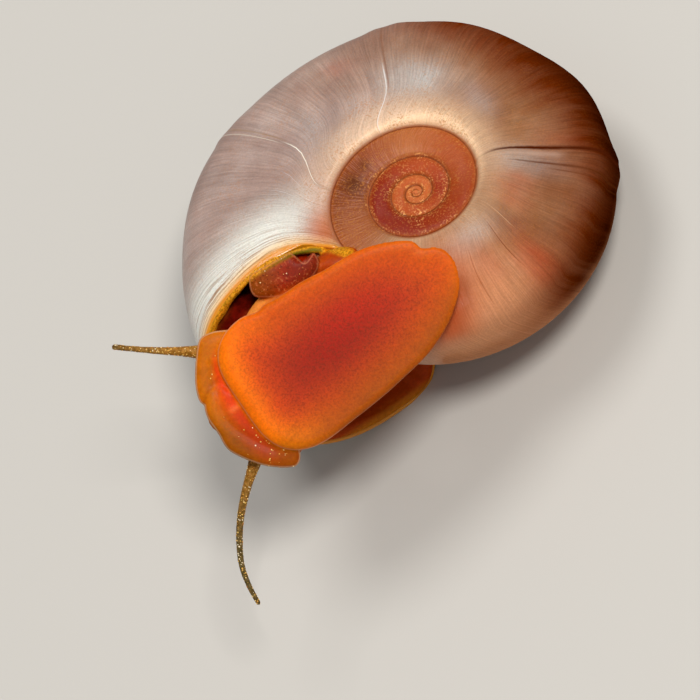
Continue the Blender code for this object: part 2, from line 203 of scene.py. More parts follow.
# ---- shell ----
coil = {
    "lipRadius": 11.44,  # axis of the coil to the outer edge at the lip
    "growthPerTurn": 0.591,
    "earlyGrowth": 0.16,
    "earlyFrom": 1.9,
    "earlyEase": 0.15,
    "turns": 5.1,
    "rowsPerTurn": 380,
    "sideColumns": 16,
    "coveredColumns": 34,
    "cavityTurns": 0.21,
    "sectionPower": 2.53,
    "sectionOut": 0.504,
    "sectionIn": 0.26,
    "sectionNear": 0.262,
    "sectionFar": 0.501,
    "sectionDrop": 0.193,
    "tilt": 36.4,
    "turnedBy": 120.3,
    "lipAngle": 217.9,
    "lipSlant": 25.5,
    "lipLead": 31.4,
    "slantTurns": 0.3,
    "wall": 0.5,
    "lipEdge": 0.17,  # the new shell at the lip is thin
    "lipTaper": 2.2,
    "lipRound": 0.07,
    # places where the whorl is fuller or, below zero, drawn in: turns behind the lip, mm, turns
    "fuller": ((-0.135, 0.24, 0.045), (-0.17, 0.1, 0.012), (-0.31, 0.2, 0.018), (-0.36, 0.11, 0.06),
               (-0.425, -0.27, 0.05), (-0.5, 0.1, 0.04), (-0.572, 0.19, 0.016)),
    "lead": (0.25, 0.18, 0.1),  # where the lip leans forward most, over which width and how far below
    # how old growing edges lean forward at the suture: where, by how many turns and over which width
    "pastLead": (0.36, (0.034, 0.06), (0.11, 0.26)),
    "pastYoung": (0.03, 0.13),  # from which age on, in turns
    "leastRadius": 0.3,
    "sutureDepth": (0.009, 0.01),  # share of the size of the whorl, and mm
    "sutureWidth": (0.015, 0.04),
    "sutureUnder": 1.8,  # the whorl that covers it is that much larger
    "ribHeight": 0.022,
    "ribsPerTurn": 260.0,
}
# Low ridges and grooves where growth had stopped: place and width in turns from the lip, height in mm.
growthStops = ((-0.17, 0.005, 0.035), (-0.181, 0.006, -0.03), (-0.305, 0.005, 0.03), (-0.316, 0.006, -0.03),
               (-0.573, 0.005, -0.055), (-0.585, 0.01, 0.025), (-0.597, 0.005, -0.025))
# Fine lines there: place, half width in turns, from and to which share of the radius, strength and tint.
growthMarks = (
    (-0.5735, 0.0042, 0.38, 1.1, 0.95, "#4a1a06"), (-0.583, 0.0065, 0.45, 0.85, 0.3, "#bfa08e"),
    (-0.5955, 0.0022, 0.5, 1.1, 0.7, "#54260c"), (-0.602, 0.0014, 0.72, 1.1, 0.6, "#54260c"),
    (-0.3125, 0.0019, 0.5, 1.1, 0.6, "#7c4c30"), (-0.3095, 0.0013, 0.3, 0.72, 0.75, "#e8e4e0"),
    # the near-white lines at -0.174 and -0.172 also paint the glint that the growth step catches
    (-0.1765, 0.0015, 0.6, 1.1, 0.5, "#8c6838"), (-0.174, 0.0012, 0.36, 0.66, 1.0, "#fbf3e2"),
    (-0.172, 0.0008, 0.6, 1.1, 0.5, "#e6dcc8"), (-0.715, 0.0009, 0.5, 0.9, 0.75, "#6c3010"),
    (-0.762, 0.0008, 0.55, 0.98, 0.7, "#7c3a14"), (-0.69, 0.0007, 0.42, 0.72, 0.6, "#d8ae84"),
    (-0.8, 0.0007, 0.6, 0.9, 0.5, "#7c3a14"), (-0.64, 0.0006, 0.45, 0.8, 0.35, "#8a5430"),
    (-0.112, 0.0007, 0.4, 0.62, 0.5, "#dcd2d2"), (-0.14, 0.0008, 0.4, 0.6, 0.4, "#dcd2d2"),
)


def sectionPoint(angle):
    cosine, sine = np.cos(angle), np.sin(angle)
    halfWidth = np.where(cosine > 0, coil["sectionOut"], coil["sectionIn"])
    halfHeight = np.where(sine > 0, coil["sectionNear"], coil["sectionFar"])
    power = 2 / coil["sectionPower"]
    radius = 1 - coil["sectionOut"] + halfWidth * np.sign(cosine) * np.abs(cosine) ** power
    height = -coil["sectionDrop"] + halfHeight * np.sign(sine) * np.abs(sine) ** power
    return radius, height


def sectionAngle(radius, height):  # the angle of a point, and how far outside the section it is
    across = radius - (1 - coil["sectionOut"])
    along = height + coil["sectionDrop"]
    across = across / np.where(across > 0, coil["sectionOut"], coil["sectionIn"])
    along = along / np.where(along > 0, coil["sectionNear"], coil["sectionFar"])
    power = coil["sectionPower"]
    outside = np.abs(across) ** power + np.abs(along) ** power - 1
    sine = np.sign(along) * np.abs(along) ** (power / 2)
    cosine = np.sign(across) * np.abs(across) ** (power / 2)
    return np.arctan2(sine, cosine), outside


def sectionNormal(angle):
    step = 1e-3
    ahead, behind = sectionPoint(angle + step), sectionPoint(angle - step)
    stepR, stepH = ahead[0] - behind[0], ahead[1] - behind[1]
    length = np.hypot(stepR, stepH)
    return stepH / length, -stepR / length


def insetPoint(angle, depth):
    radius, height = sectionPoint(angle)
    outR, outH = sectionNormal(angle)
    return radius - depth * outR, height - depth * outH


def sutures(ratio, depth, near):  # angles on the row's own whorl and on the whorl that it covers
    sign = 1 if near else -1
    low = np.full(ratio.shape, sign * math.pi / 2)
    high = np.full(ratio.shape, sign * math.pi)
    halvings = 40
    for _ in range(halvings):
        middle = (low + high) / 2
        radius, height = insetPoint(middle, depth)
        outside = sectionAngle(radius * ratio, height * ratio)[1] > 0
        low = np.where(outside, middle, low)
        high = np.where(outside, high, middle)
    radius, height = insetPoint(low, depth)
    return low, sectionAngle(radius * ratio, height * ratio)[0]


def whorlSize(place):
    early = np.maximum(0.0, -place - coil["earlyFrom"])
    early = coil["earlyGrowth"] * early ** 2 / (1 + coil["earlyEase"] * early)
    return coil["lipRadius"] * np.exp(coil["growthPerTurn"] * place - early)


def lipShift(radius, height):  # how far the growing edge lies ahead of the radial plane
    above = height + coil["sectionDrop"]
    centre, width, depth = coil["lead"]
    lead = math.radians(coil["lipLead"]) * bell(radius, centre, width)
    lead = np.where(above < 0, lead * bell(above, 0.0, depth), lead)
    return -math.tan(math.radians(coil["lipSlant"])) * above / np.maximum(radius, coil["leastRadius"]) + lead


def edgeShift(place, radius, height):  # the same for the growing edge of any age
    above = height + coil["sectionDrop"]
    centre, (low, high), (narrow, wide) = coil["pastLead"]
    lead = low + (high - low) * (1 - smoothStep(-place, 0.17, 0.3))
    width = narrow + (wide - narrow) * smoothStep(-place, 0.31, 0.57)
    past = lead * math.tau * bell(np.maximum(radius, centre), centre, width) * smoothStep(above, -0.1, 0.05)
    slope = math.tan(math.radians(coil["lipSlant"])) / np.maximum(radius, coil["leastRadius"])
    past = past + np.where(above < 0, -slope * above, 0.0)
    age = smoothStep(-place, *coil["pastYoung"])
    return lipShift(radius, height) * (1 - age) + past * age


def ramp(turn):
    return smoothStep(1 + turn / coil["slantTurns"], 0.0, 1.0)


def wallShare(turn):  # the wall thins towards the lip
    behind = -turn * math.tau * coil["lipRadius"]
    thick = coil["lipEdge"] + (coil["wall"] - coil["lipEdge"]) * (1 - np.exp(-behind / coil["lipTaper"]))
    return thick / coil["lipRadius"]


coilToSole = (
    Matrix.Rotation(math.radians(coil["turnedBy"]), 3, "Z")
    @ Matrix.Rotation(math.radians(coil["tilt"]), 3, "Y")
    @ Matrix.Rotation(-math.radians(coil["turnedBy"]), 3, "Z")
)


def coilPoint(place, radius, height):  # for what lines the shell
    size = whorlSize(place)
    angle = math.radians(coil["lipAngle"]) + place * math.tau
    flat = np.stack([size * radius * np.cos(angle), size * radius * np.sin(angle), size * height], axis=-1)
    return flat @ np.array(coilToSole).T


def coilSheet():
    # The sheet of the shell as numbers: for each vertex its place along the coil, its point on the
    # whorl section and the section's outward direction. The spiral itself is made by the node tree.
    perTurn = coil["rowsPerTurn"]
    rows = round(coil["turns"] * perTurn)
    side, covered = coil["sideColumns"], coil["coveredColumns"]
    last = 2 * side + covered + 2
    row = np.arange(rows + 1)
    turn = (row - rows) / perTurn
    ratio = whorlSize(turn) / whorlSize(turn - 1)
    near, underNear = sutures(ratio, 0.0, True)
    far, underFar = sutures(ratio, 0.0, False)
    inNear, lumenNear = sutures(ratio, wallShare(turn), True)
    inFar, lumenFar = sutures(ratio, wallShare(turn), False)

    over = np.minimum(row + perTurn, rows)
    beyond = np.maximum(0.0, (row + perTurn - rows) / perTurn)
    fade = np.clip(1 - beyond / coil["slantTurns"], 0.0, 1.0)
    follow = ramp(turn[over]) * fade * fade * (3 - 2 * fade)
    cells = {key: [] for key in ("place", "radius", "height", "outR", "outH", "relief", "grown", "behindLip",
                                 "shoulder", "seam", "lining")}
    grid = np.zeros((rows + 1, last + 1), dtype=int)
    unset = 99.0  # far from any suture
    sideShare = np.linspace(0, 1, side + 1)
    middleShare = np.linspace(0, 1, covered + 1)
    count = 0
    for r in range(rows + 1):
        o = over[r]
        angle = np.concatenate([
            near[r] + (underNear[o] - near[r]) * sideShare,
            lumenNear[o] + (lumenFar[o] - lumenNear[o]) * middleShare,
            underFar[o] + (far[r] - underFar[o]) * sideShare,
        ])
        nearShift = follow[r] * float(lipShift(*sectionPoint(near[o])))
        farShift = follow[r] * float(lipShift(*sectionPoint(far[o])))
        moved = np.interp(angle, [far[r], underFar[o], underNear[o], near[r]], [0, farShift, nearShift, 0])
        radius, height = sectionPoint(angle)
        moved = moved + ramp(turn[r]) * lipShift(radius, height)
        place = turn[r] + moved / math.tau
        grown = place - edgeShift(place, radius, height) / math.tau
        fromLip = place - lipShift(radius, height) / math.tau
        size = whorlSize(place)
        # the suture is an impressed line, on both whorls that meet there
        relief = np.zeros(len(angle))
        shoulder = np.full(len(angle), unset)
        seam = np.full(len(angle), unset)
        for own, other in ((near[r], underNear[o]), (far[r], underFar[o])):
            for at, share, scale in ((own, 1.0, size),
                                     (other, fade[r] if r + perTurn > rows else 1.0,
                                      size * coil["sutureUnder"])):
                atR, atH = sectionPoint(at)
                away = size * np.hypot(radius - atR, height - atH)
                width = coil["sutureWidth"][0] * scale + coil["sutureWidth"][1]
                depth = coil["sutureDepth"][0] * scale + coil["sutureDepth"][1]
                relief -= share * depth * bell(away, 0.0, width)
                if at is own and own > 0:
                    shoulder = away
                if at is own or r + perTurn <= rows:
                    seam = np.minimum(seam, away)
        for stop, width, rise in growthStops:
            relief += rise * bell(grown, stop, width)
        swell = np.zeros(len(angle))
        for stop, rise, width in coil["fuller"]:
            swell += rise * bell(fromLip, stop, width)
        swell *= np.clip((radius - 0.35) * 3, 0.0, 1.0)
        outR, outH = sectionNormal(angle)
        keep = np.ones(len(angle), dtype=bool)
        if r >= perTurn:
            keep[0] = keep[-1] = False
            grid[r, 0] = grid[r - perTurn, side]
            grid[r, -1] = grid[r - perTurn, last - side]
        kept = np.nonzero(keep)[0]
        grid[r, kept] = count + np.arange(len(kept))
        count += len(kept)
        behind = -fromLip * math.tau * size * np.maximum(radius, coil["leastRadius"])
        entries = (place, radius + swell * radius / size, height + swell * height / size, outR, outH, relief,
                   grown, behind, shoulder, seam, np.zeros(len(angle)))
        for key, value in zip(cells, entries):
            cells[key].append(np.asarray(value, dtype=float)[kept])

    def addRow(place, radius, height, outR, outH, relief, lining):
        nonlocal count
        ones = np.ones(len(radius))
        fromLip = place * ones - lipShift(radius, height) / math.tau
        behind = -fromLip * math.tau * whorlSize(place) * np.maximum(radius, coil["leastRadius"])
        entries = (place * ones, radius, height, outR * ones, outH * ones, relief * ones, fromLip, behind,
                   unset * ones, unset * ones, lining * ones)
        for key, value in zip(cells, entries):
            cells[key].append(np.asarray(value, dtype=float))
        count += len(radius)
        return list(range(count - len(radius), count))

    deepest = rows - round(coil["cavityTurns"] * perTurn)
    lining = {}
    for r in range(deepest, rows + 1):
        angle = np.linspace(inNear[r], inFar[r], last + 1)[1:-1]
        radius, height = insetPoint(angle, wallShare(turn[r]))
        place = turn[r] + ramp(turn[r]) * lipShift(*sectionPoint(angle)) / math.tau
        outR, outH = sectionNormal(angle)
        below = grid[r - perTurn]
        lining[r] = [below[side + 1]] + addRow(place, radius, height, -outR, -outH, 0.0, 1.0)
        lining[r].append(below[side + 1 + covered])
    # a rounded lip between the outer face and the lining
    angle = np.linspace(near[rows], far[rows], last + 1)[1:-1]
    radius, height = insetPoint(angle, wallShare(0.0) / 2)
    place = lipShift(*sectionPoint(angle)) / math.tau + coil["lipRound"] / (math.tau * coil["lipRadius"])
    edge = [grid[rows, 0]] + addRow(place, radius, height, 0.0, 0.0, 0.0, 0.5) + [grid[rows, -1]]

    faces = []

    def strip(one, two, start=0, end=None):
        for j in range(start, len(one) - 1 if end is None else end):
            corners = (one[j], one[j + 1], two[j + 1], two[j])
            faces.append(tuple(dict.fromkeys(int(c) for c in corners)))

    for r in range(rows):
        strip(grid[r], grid[r + 1], 0, side)
        strip(grid[r], grid[r + 1], last - side, last)
        if r >= rows - perTurn:
            strip(grid[r], grid[r + 1], side, last - side)
        elif r >= deepest - perTurn:
            strip(grid[r], grid[r + 1], side + 1, last - side - 1)
    for r in range(deepest, rows):
        strip(lining[r], lining[r + 1])
    strip(grid[rows], edge)
    strip(edge, lining[rows])

    def fan(loop, place, radius, height, inside):
        hub = addRow(place, np.array([radius]), np.array([height]), 0.0, 0.0, 0.0, inside)[0]
        for k in range(len(loop)):
            faces.append((int(loop[k]), int(loop[(k + 1) % len(loop)]), hub))

    floor = list(grid[deepest - perTurn][side + 1:last - side])
    fan(lining[deepest] + floor[-2:0:-1], turn[deepest], 0.8, -0.25, 1.0)
    nearLoop = [grid[r, 0] for r in range(perTurn)] + list(grid[0][side:0:-1])
    farLoop = [grid[r, last] for r in range(perTurn)] + list(grid[0][last - side:last])
    nearHeight = float(sectionPoint(near[0])[1])
    farHeight = float(sectionPoint(far[0])[1])
    fan(nearLoop, turn[0] + 0.5, 0.0, nearHeight, 0.0)
    fan(farLoop, turn[0] + 0.5, 0.0, farHeight, 0.0)

    data = {key: np.concatenate(value) for key, value in cells.items()}
    mesh = bpy.data.meshes.new("coilSheet")
    start = np.stack([data["radius"], data["height"], data["place"]], axis=-1)
    mesh.from_pydata(start.tolist(), [], faces)
    for key, value in data.items():
        mesh.attributes.new(key, "FLOAT", "POINT").data.foreach_set("value", value.astype(np.float32))
    return mesh


def spiralTree():
    # A point of the whorl section carried round a logarithmic spiral, with fine growth ribs.
    labels = ("Lip radius", "Growth per turn", "Early growth", "Early from", "Early ease", "Lip angle",
              "Rib height", "Ribs per turn")
    tree, given = newTree("spiralShell", *((label, "Float") for label in labels))
    read = {}
    for name in ("place", "radius", "height", "outR", "outH", "relief", "grown", "lining"):
        read[name] = addNode(tree, "GeometryNodeInputNamedAttribute", {"data_type": "FLOAT"},
                             {"Name": name}).outputs["Attribute"]
    # growth slows in the first whorls
    back = addNode(tree, mathNode, times, {0: read["place"], 1: -1.0})
    young = addNode(tree, mathNode, minus, {0: back, 1: given["Early from"]})
    young = addNode(tree, mathNode, {"operation": "MAXIMUM"}, {0: young, 1: 0.0})
    slowed = addNode(tree, mathNode, timesPlus, {0: young, 1: given["Early ease"], 2: 1.0})
    young = addNode(tree, mathNode, {"operation": "POWER"}, {0: young, 1: 2.0})
    young = addNode(tree, mathNode, times, {0: young, 1: given["Early growth"]})
    young = addNode(tree, mathNode, {"operation": "DIVIDE"}, {0: young, 1: slowed})
    grow = addNode(tree, mathNode, times, {0: read["place"], 1: given["Growth per turn"]})
    grow = addNode(tree, mathNode, minus, {0: grow, 1: young})
    grow = addNode(tree, mathNode, {"operation": "EXPONENT"}, {0: grow})
    size = addNode(tree, mathNode, times, {0: grow, 1: given["Lip radius"]})
    angle = addNode(tree, mathNode, times, {0: read["place"], 1: math.tau})
    angle = addNode(tree, mathNode, plus, {0: angle, 1: given["Lip angle"]})
    # growth ribs: noise that runs along the growing edge
    beat = addNode(tree, mathNode, times, {0: read["grown"], 1: given["Ribs per turn"]})
    across = addNode(tree, "ShaderNodeCombineXYZ", None, {"X": beat, "Y": read["radius"]})
    rough = addNode(tree, noiseNode, {"noise_dimensions": "2D"},
                    {"Vector": across, "Scale": 1.0, "Detail": 2.0, "Roughness": 0.6})
    rib = addNode(tree, mathNode, minus, {0: rough, 1: 0.5})
    rib = addNode(tree, mathNode, times, {0: rib, 1: given["Rib height"]})
    outside = addNode(tree, mathNode, minus, {0: 1.0, 1: read["lining"]})
    rib = addNode(tree, mathNode, times, {0: rib, 1: outside})
    rise = addNode(tree, mathNode, plus, {0: rib, 1: read["relief"]})
    away = addNode(tree, mathNode, times, {0: size, 1: read["radius"]})
    away = addNode(tree, mathNode, timesPlus, {0: rise, 1: read["outR"], 2: away})
    along = addNode(tree, mathNode, times, {0: size, 1: read["height"]})
    along = addNode(tree, mathNode, timesPlus, {0: rise, 1: read["outH"], 2: along})
    flat = addNode(tree, "ShaderNodeCombineXYZ", None, {"X": away, "Z": along})
    turned = addNode(tree, "ShaderNodeVectorRotate", {"rotation_type": "Z_AXIS"},
                     {"Vector": flat, "Angle": angle})
    placed = addNode(tree, "GeometryNodeSetPosition", None,
                     {"Geometry": given["Geometry"], "Position": turned})
    return endTree(tree, placed, given["Finish"])


def grownMesh(name, mesh, tree, settings):  # runs a tree on a mesh and returns the plain result
    base = linked(name + "Base", mesh)
    modifier = base.modifiers.new("tree", "NODES")
    modifier.node_group = tree
    for item in tree.interface.items_tree:
        if item.in_out == "INPUT" and item.name in settings:
            modifier[item.identifier] = settings[item.name]
    made = baked(base)
    made.name = name
    return made


def facedOut(mesh):
    work = bmesh.new()
    work.from_mesh(mesh)
    bmesh.ops.recalc_face_normals(work, faces=work.faces)
    work.to_mesh(mesh)
    work.free()
    mesh.shade_smooth()


def values(mesh, name):
    found = np.empty(len(mesh.vertices), dtype=np.float32)
    mesh.attributes[name].data.foreach_get("value", found)
    return found.astype(float)


def store(mesh, name, value):
    if name not in mesh.attributes:
        mesh.attributes.new(name, "FLOAT", "POINT")
    mesh.attributes[name].data.foreach_set("value", np.asarray(value, dtype=np.float32))


# Aragonite shell of a red ramshorn: thin, smooth and translucent, pearly under a brown outer skin that
# is freckled with gold.
def nacreMaterial():
    made, tree, shader = newMaterial("shellNacre")
    read = readMasks(tree, "grown", "radius", "age", "spire", "shoulderRing", "rimBrown", "rimDark",
                     "lipBand", "lipWhite", "lipYellow", "lipCream", "peach", "rosy", "pearly", "dusky",
                     "lining", "seam", "whorl", "glow", "umber", "gilt", "freckled", "dull", "firstWhorls")
    drift, cloud, patch = noises(tree, (500.0, 2.0, 0.5), (330.0, 4.0, 0.55), (700.0, 3.0, 0.5))
    flake, speck, grain = noises(tree, (2200.0, 2.0, 0.5), (12000.0, 2.0, 0.5), (13000.0, 1.0, 0.5))

    # growth lines follow the growing edge: about 0.1 mm apart, with broader bands under them
    beat = addNode(tree, mathNode, times, {0: read["grown"], 1: 560.0})
    wander = addNode(tree, mathNode, timesPlus, {0: drift, 1: 2.0, 2: beat})
    lineAt = addNode(tree, "ShaderNodeCombineXYZ", None, {"X": wander, "Y": read["radius"]})
    stretched = addNode(tree, "ShaderNodeVectorMath", times, {0: lineAt, 1: (1.0, 4.0, 1.0)})
    fine = addNode(tree, noiseNode, {"noise_dimensions": "2D"},
                   {"Vector": stretched, "Scale": 1.0, "Detail": 3.0, "Roughness": 0.7})
    stretched = addNode(tree, "ShaderNodeVectorMath", times, {0: lineAt, 1: (0.09, 2.6, 1.0)})
    broad = addNode(tree, noiseNode, {"noise_dimensions": "2D"},
                    {"Vector": stretched, "Scale": 1.0, "Detail": 4.0, "Roughness": 0.6})

    # young shell is greyish lilac pearl, older shell tan to peach
    young = addNode(tree, rampNode, {"stops": ((0.3, "#967a70"), (0.5, "#aa9187"), (0.7, "#baa69e"))},
                    {"Fac": cloud})
    older = addNode(tree, rampNode, {"stops": ((0.32, "#8a5a3a"), (0.5, "#9e7350"), (0.68, "#b28c6c"))},
                    {"Fac": cloud})
    tone = addNode(tree, mixNode, blend, {"Factor": read["age"], "A": young, "B": older})
    banded = addNode(tree, rampNode, {"stops": ((0.35, 0.86), (0.65, 1.08))}, {"Fac": broad})
    tone = addNode(tree, mixNode, multiply, {"Factor": 0.8, "A": tone, "B": banded})
    # soft clouds where the pearl shows through, at the top also a painted highlight, and rosy ones where the
    # flesh does;
    # the brown outer edge with its painted shade, and its darkest line, are streaked with the growth bands
    for noise, gain, offset, names in ((patch, 1.6, -0.1, ("pearly",)), (broad, 1.4, 0.1, ("rosy",)),
                                       (broad, 0.8, 0.6, ("rimBrown", "rimDark"))):
        uneven = addNode(tree, mathNode, timesPlus, {0: noise, 1: gain, 2: offset})
        for name in names:
            read[name] = addNode(tree, mathNode, timesClamped, {0: uneven, 1: read[name]})
    lipLines = addNode(tree, rampNode, {"stops": ((0.34, 0.75), (0.5, 0.0))}, {"Fac": fine})
    read["lipBand"] = addNode(tree, mathNode, times, {0: lipLines, 1: read["lipBand"]})
    # the dusky tint is painted shade; the pearly, shoulder ring and rim tints also carry painted highlight
    # and shade
    for name, tint in (("peach", "#d08e66"), ("pearly", "#bfbebb"), ("rosy", "#b84a2e"), ("dusky", "#6a3c20"),
                       ("rimBrown", "#702a06"), ("rimDark", "#2e0a00"), ("shoulderRing", "#f6cfa6"),
                       ("lipWhite", "#dad9d0"), ("lipCream", "#ecc488"), ("lipBand", "#a0641a")):
        tone = addNode(tree, mixNode, blend, {"Factor": read[name], "A": tone, "B": tint})
    # spire: tan in the first whorls, then maroon, orange brown and, before the last whorl, dark brown
    spireStops = ((0.0, "#d8743e"), (0.4, "#c4602e"), (0.56, "#b04c22"), (0.61, "#942c10"), (0.66, "#b0481c"),
                  (0.73, "#841e08"), (0.79, "#86220a"), (0.854, "#983a10"), (0.893, "#ac5022"),
                  (0.92, "#b46636"), (0.947, "#944a2a"), (0.974, "#7c3816"), (1.0, "#9c562e"))
    spireTone = addNode(tree, rampNode, {"stops": spireStops}, {"Fac": read["whorl"]})
    # lilac streaks across the youngest whorl of the spire
    lilac = addNode(tree, rangeNode, None, {"Value": read["whorl"], "From Min": 0.86, "From Max": 0.96,
                                            "To Min": 0.0, "To Max": 1.0})
    streaks = addNode(tree, rampNode, {"stops": ((0.5, 0.0), (0.72, 0.55))}, {"Fac": fine})
    lilac = addNode(tree, mathNode, times, {0: lilac, 1: streaks})
    for share, tint in ((lilac, "#b08a78"), (read["umber"], "#5a2a0c")):
        spireTone = addNode(tree, mixNode, blend, {"Factor": share, "A": spireTone, "B": tint})
    tone = addNode(tree, mixNode, blend, {"Factor": read["spire"], "A": tone, "B": spireTone})
    # fine growth lines darken and lighten it by a little
    lineTone = addNode(tree, rampNode, {"stops": ((0.3, 0.79), (0.7, 1.17))}, {"Fac": fine})
    tone = addNode(tree, mixNode, multiply, {"Factor": 0.8, "A": tone, "B": lineTone})
    # freckles of the outer skin: golden brown, 0.05 to 0.1 mm, in loose drifts
    freckles = addNode(tree, rampNode, {"stops": ((0.53, 0.0), (0.63, 0.6))}, {"Fac": speck})
    drifts = addNode(tree, rampNode, {"stops": ((0.36, 0.1), (0.64, 1.0))}, {"Fac": patch})
    freckles = addNode(tree, mathNode, times, {0: freckles, 1: drifts})
    freckles = addNode(tree, mathNode, times, {0: freckles, 1: read["freckled"]})
    tone = addNode(tree, mixNode, blend, {"Factor": freckles, "A": tone, "B": "#b4702c"})
    grainTone = addNode(tree, rampNode, {"stops": ((0.3, 0.9), (0.7, 1.1))}, {"Fac": grain})
    tone = addNode(tree, mixNode, multiply, {"Factor": 0.7, "A": tone, "B": grainTone})
    ragged = addNode(tree, mathNode, timesPlus, {0: patch, 1: 1.6, 2: 0.2})
    soft = 0.09  # share of the radius over which a growth mark fades at its ends
    for stop, halfWidth, start, end, strength, tint in growthMarks:
        off = addNode(tree, mathNode, minus, {0: read["grown"], 1: stop})
        off = addNode(tree, mathNode, absolute, {0: off})
        line = addNode(tree, rangeNode, eased, {"Value": off, "From Min": 0.0, "From Max": halfWidth,
                                                "To Min": strength, "To Max": 0.0})
        fadeIn = addNode(tree, rangeNode, eased,
                         {"Value": read["radius"], "From Min": start, "From Max": start + soft})
        fadeOut = addNode(tree, rangeNode, eased, {"Value": read["radius"], "From Min": end - soft,
                                                   "From Max": end, "To Min": 1.0, "To Max": 0.0})
        drawn = addNode(tree, mathNode, times, {0: fadeIn, 1: fadeOut})
        drawn = addNode(tree, mathNode, times, {0: drawn, 1: line})
        drawn = addNode(tree, mathNode, timesClamped, {0: drawn, 1: ragged})
        tone = addNode(tree, mixNode, blend, {"Factor": drawn, "A": tone, "B": tint})
    # painted glow of the flesh through the shell, and a stain by the arch
    tone = addNode(tree, mixNode, blend, {"Factor": read["glow"], "A": tone, "B": "#b44208"})
    # brown outer skin caught in the suture, with gilded grains and painted glints
    for width, strength, tint in ((0.24, 0.5, "#a4541a"), (0.05, 0.8, "#6a2808")):
        line = addNode(tree, rangeNode, eased, {"Value": read["seam"], "From Min": 0.0, "From Max": width,
                                                "To Min": strength, "To Max": 0.0})
        tone = addNode(tree, mixNode, blend, {"Factor": line, "A": tone, "B": tint})
    gilt = addNode(tree, rampNode, {"stops": ((0.53, 0.0), (0.64, 0.9))}, {"Fac": speck})
    drifts = addNode(tree, rampNode, {"stops": ((0.42, 0.15), (0.58, 1.0))}, {"Fac": flake})
    gilt = addNode(tree, mathNode, times, {0: gilt, 1: drifts})
    read["gilt"] = addNode(tree, mathNode, times, {0: gilt, 1: read["gilt"]})
    for name, tint in (("gilt", "#f0b46a"), ("lining", "#5a1a06"), ("lipYellow", "#d88808")):
        tone = addNode(tree, mixNode, blend, {"Factor": read[name], "A": tone, "B": tint})

    shine = addNode(tree, rangeNode, None, {"Value": fine, "To Min": 0.28, "To Max": 0.5})
    bumpLines = addNode(tree, "ShaderNodeBump", None,
                        {"Strength": 0.5, "Distance": 0.00004, "Height": fine})
    bumpSpecks = addNode(tree, "ShaderNodeBump", None,
                         {"Strength": 0.3, "Distance": 0.00002, "Height": grain, "Normal": bumpLines})
    wet = addNode(tree, rangeNode, None,
                  {"Value": read["dull"], "From Min": 0.0, "From Max": 0.6, "To Min": 0.4, "To Max": 0.0})
    matt = addNode(tree, rangeNode, None, {"Value": read["firstWhorls"], "To Min": 1.0, "To Max": 0.1})
    sheen = addNode(tree, mathNode, times, {0: wet, 1: matt})
    polish = addNode(tree, rangeNode, None, {"Value": read["firstWhorls"], "To Min": 0.16, "To Max": 0.1})
    fillInputs(tree, shader, {
        "Base Color": tone, "Roughness": shine, "Normal": bumpSpecks, "IOR": 1.33,
        "Specular IOR Level": sheen, "Subsurface Weight": 0.15, "Subsurface Radius": (1.0, 0.5, 0.3),
        "Subsurface Scale": 0.0003,
        "Coat Weight": wet, "Coat Roughness": polish, "Coat Normal": bumpSpecks,
    })
    return made


nacre = nacreMaterial()
shellMesh = grownMesh("snailShell", coilSheet(), spiralTree(), {
    "Lip radius": coil["lipRadius"],
    "Growth per turn": coil["growthPerTurn"],
    "Early growth": coil["earlyGrowth"],
    "Early from": coil["earlyFrom"],
    "Early ease": coil["earlyEase"],
    "Lip angle": math.radians(coil["lipAngle"]),
    "Rib height": coil["ribHeight"],
    "Ribs per turn": coil["ribsPerTurn"],
    "Finish": nacre,
})
shellMesh.transform(coilToSole.to_4x4())
facedOut(shellMesh)


# Soft patches on the last whorl, as (x, y, half length, half width, turn in degrees, strength).
patches = {
    # pearly: pale pearl showing through; the two patches at the top also paint the highlight there
    "pearly": ((-0.1, 4.9, 1.5, 0.75, 0.0, 0.95), (2.6, 4.1, 1.0, 0.6, -50.0, 0.6),
               (4.7, 1.2, 1.7, 0.6, -12.0, 0.6), (2.2, -1.9, 1.1, 0.6, 40.0, 0.6),
               (-5.0, -0.8, 1.6, 0.7, 30.0, 0.6), (-4.3, 2.6, 1.5, 1.0, 40.0, 0.35)),
    "rosy": ((4.2, 0.1, 1.0, 0.7, -40.0, 0.55), (5.1, -2.9, 1.8, 0.8, -48.0, 0.7),
             (3.2, -3.0, 1.0, 0.7, -40.0, 0.35), (-3.3, 5.4, 0.6, 0.4, 20.0, 0.3),
             (6.2, 2.2, 1.4, 0.5, -8.0, 0.3)),
    # painted shade: darker patches on the right, the far left and the top edge, where the light falls off
    "dusky": ((5.5, 0.6, 1.7, 0.8, -70.0, 0.5), (5.2, -1.7, 1.3, 1.0, 0.0, 0.5),
              (-8.1, -0.6, 1.3, 0.7, 60.0, 0.3), (2.1, 2.3, 1.1, 0.7, -40.0, 0.35),
              (-7.0, 0.0, 2.4, 1.5, 80.0, 0.2), (-0.3, 6.2, 2.2, 0.6, 0.0, 0.3)),
}


def patchShare(at, spots):
    share = np.zeros(len(at))
    for x, y, long, wide, turn, strength in spots:
        cosine, sine = math.cos(math.radians(turn)), math.sin(math.radians(turn))
        along = (at[:, 0] - x) * cosine + (at[:, 1] - y) * sine
        across = (at[:, 1] - y) * cosine - (at[:, 0] - x) * sine
        share = np.maximum(share, strength * np.exp(-((along / long) ** 2) - (across / wide) ** 2))
    return share


def outlineAway(mesh, at):  # mm inside the outline that the shell shows from the side of the sole
    out = np.hypot(at[:, 0], at[:, 1])
    bins = 240
    sector = np.floor((np.arctan2(at[:, 1], at[:, 0]) / math.tau + 0.5) * bins).astype(int) % bins
    reach = np.array([out[sector == k].max() for k in range(bins)])
    reach = (np.roll(reach, 1) + reach + np.roll(reach, -1)) / 3
    angle = (np.arctan2(at[:, 1], at[:, 0]) / math.tau + 0.5) * bins - 0.5
    away = np.interp(angle, np.arange(-1, bins + 1), np.concatenate([reach[-1:], reach, reach[:1]])) - out
    return np.where(towardViewer(mesh) > 0, np.maximum(away, 0.0), 0.0)


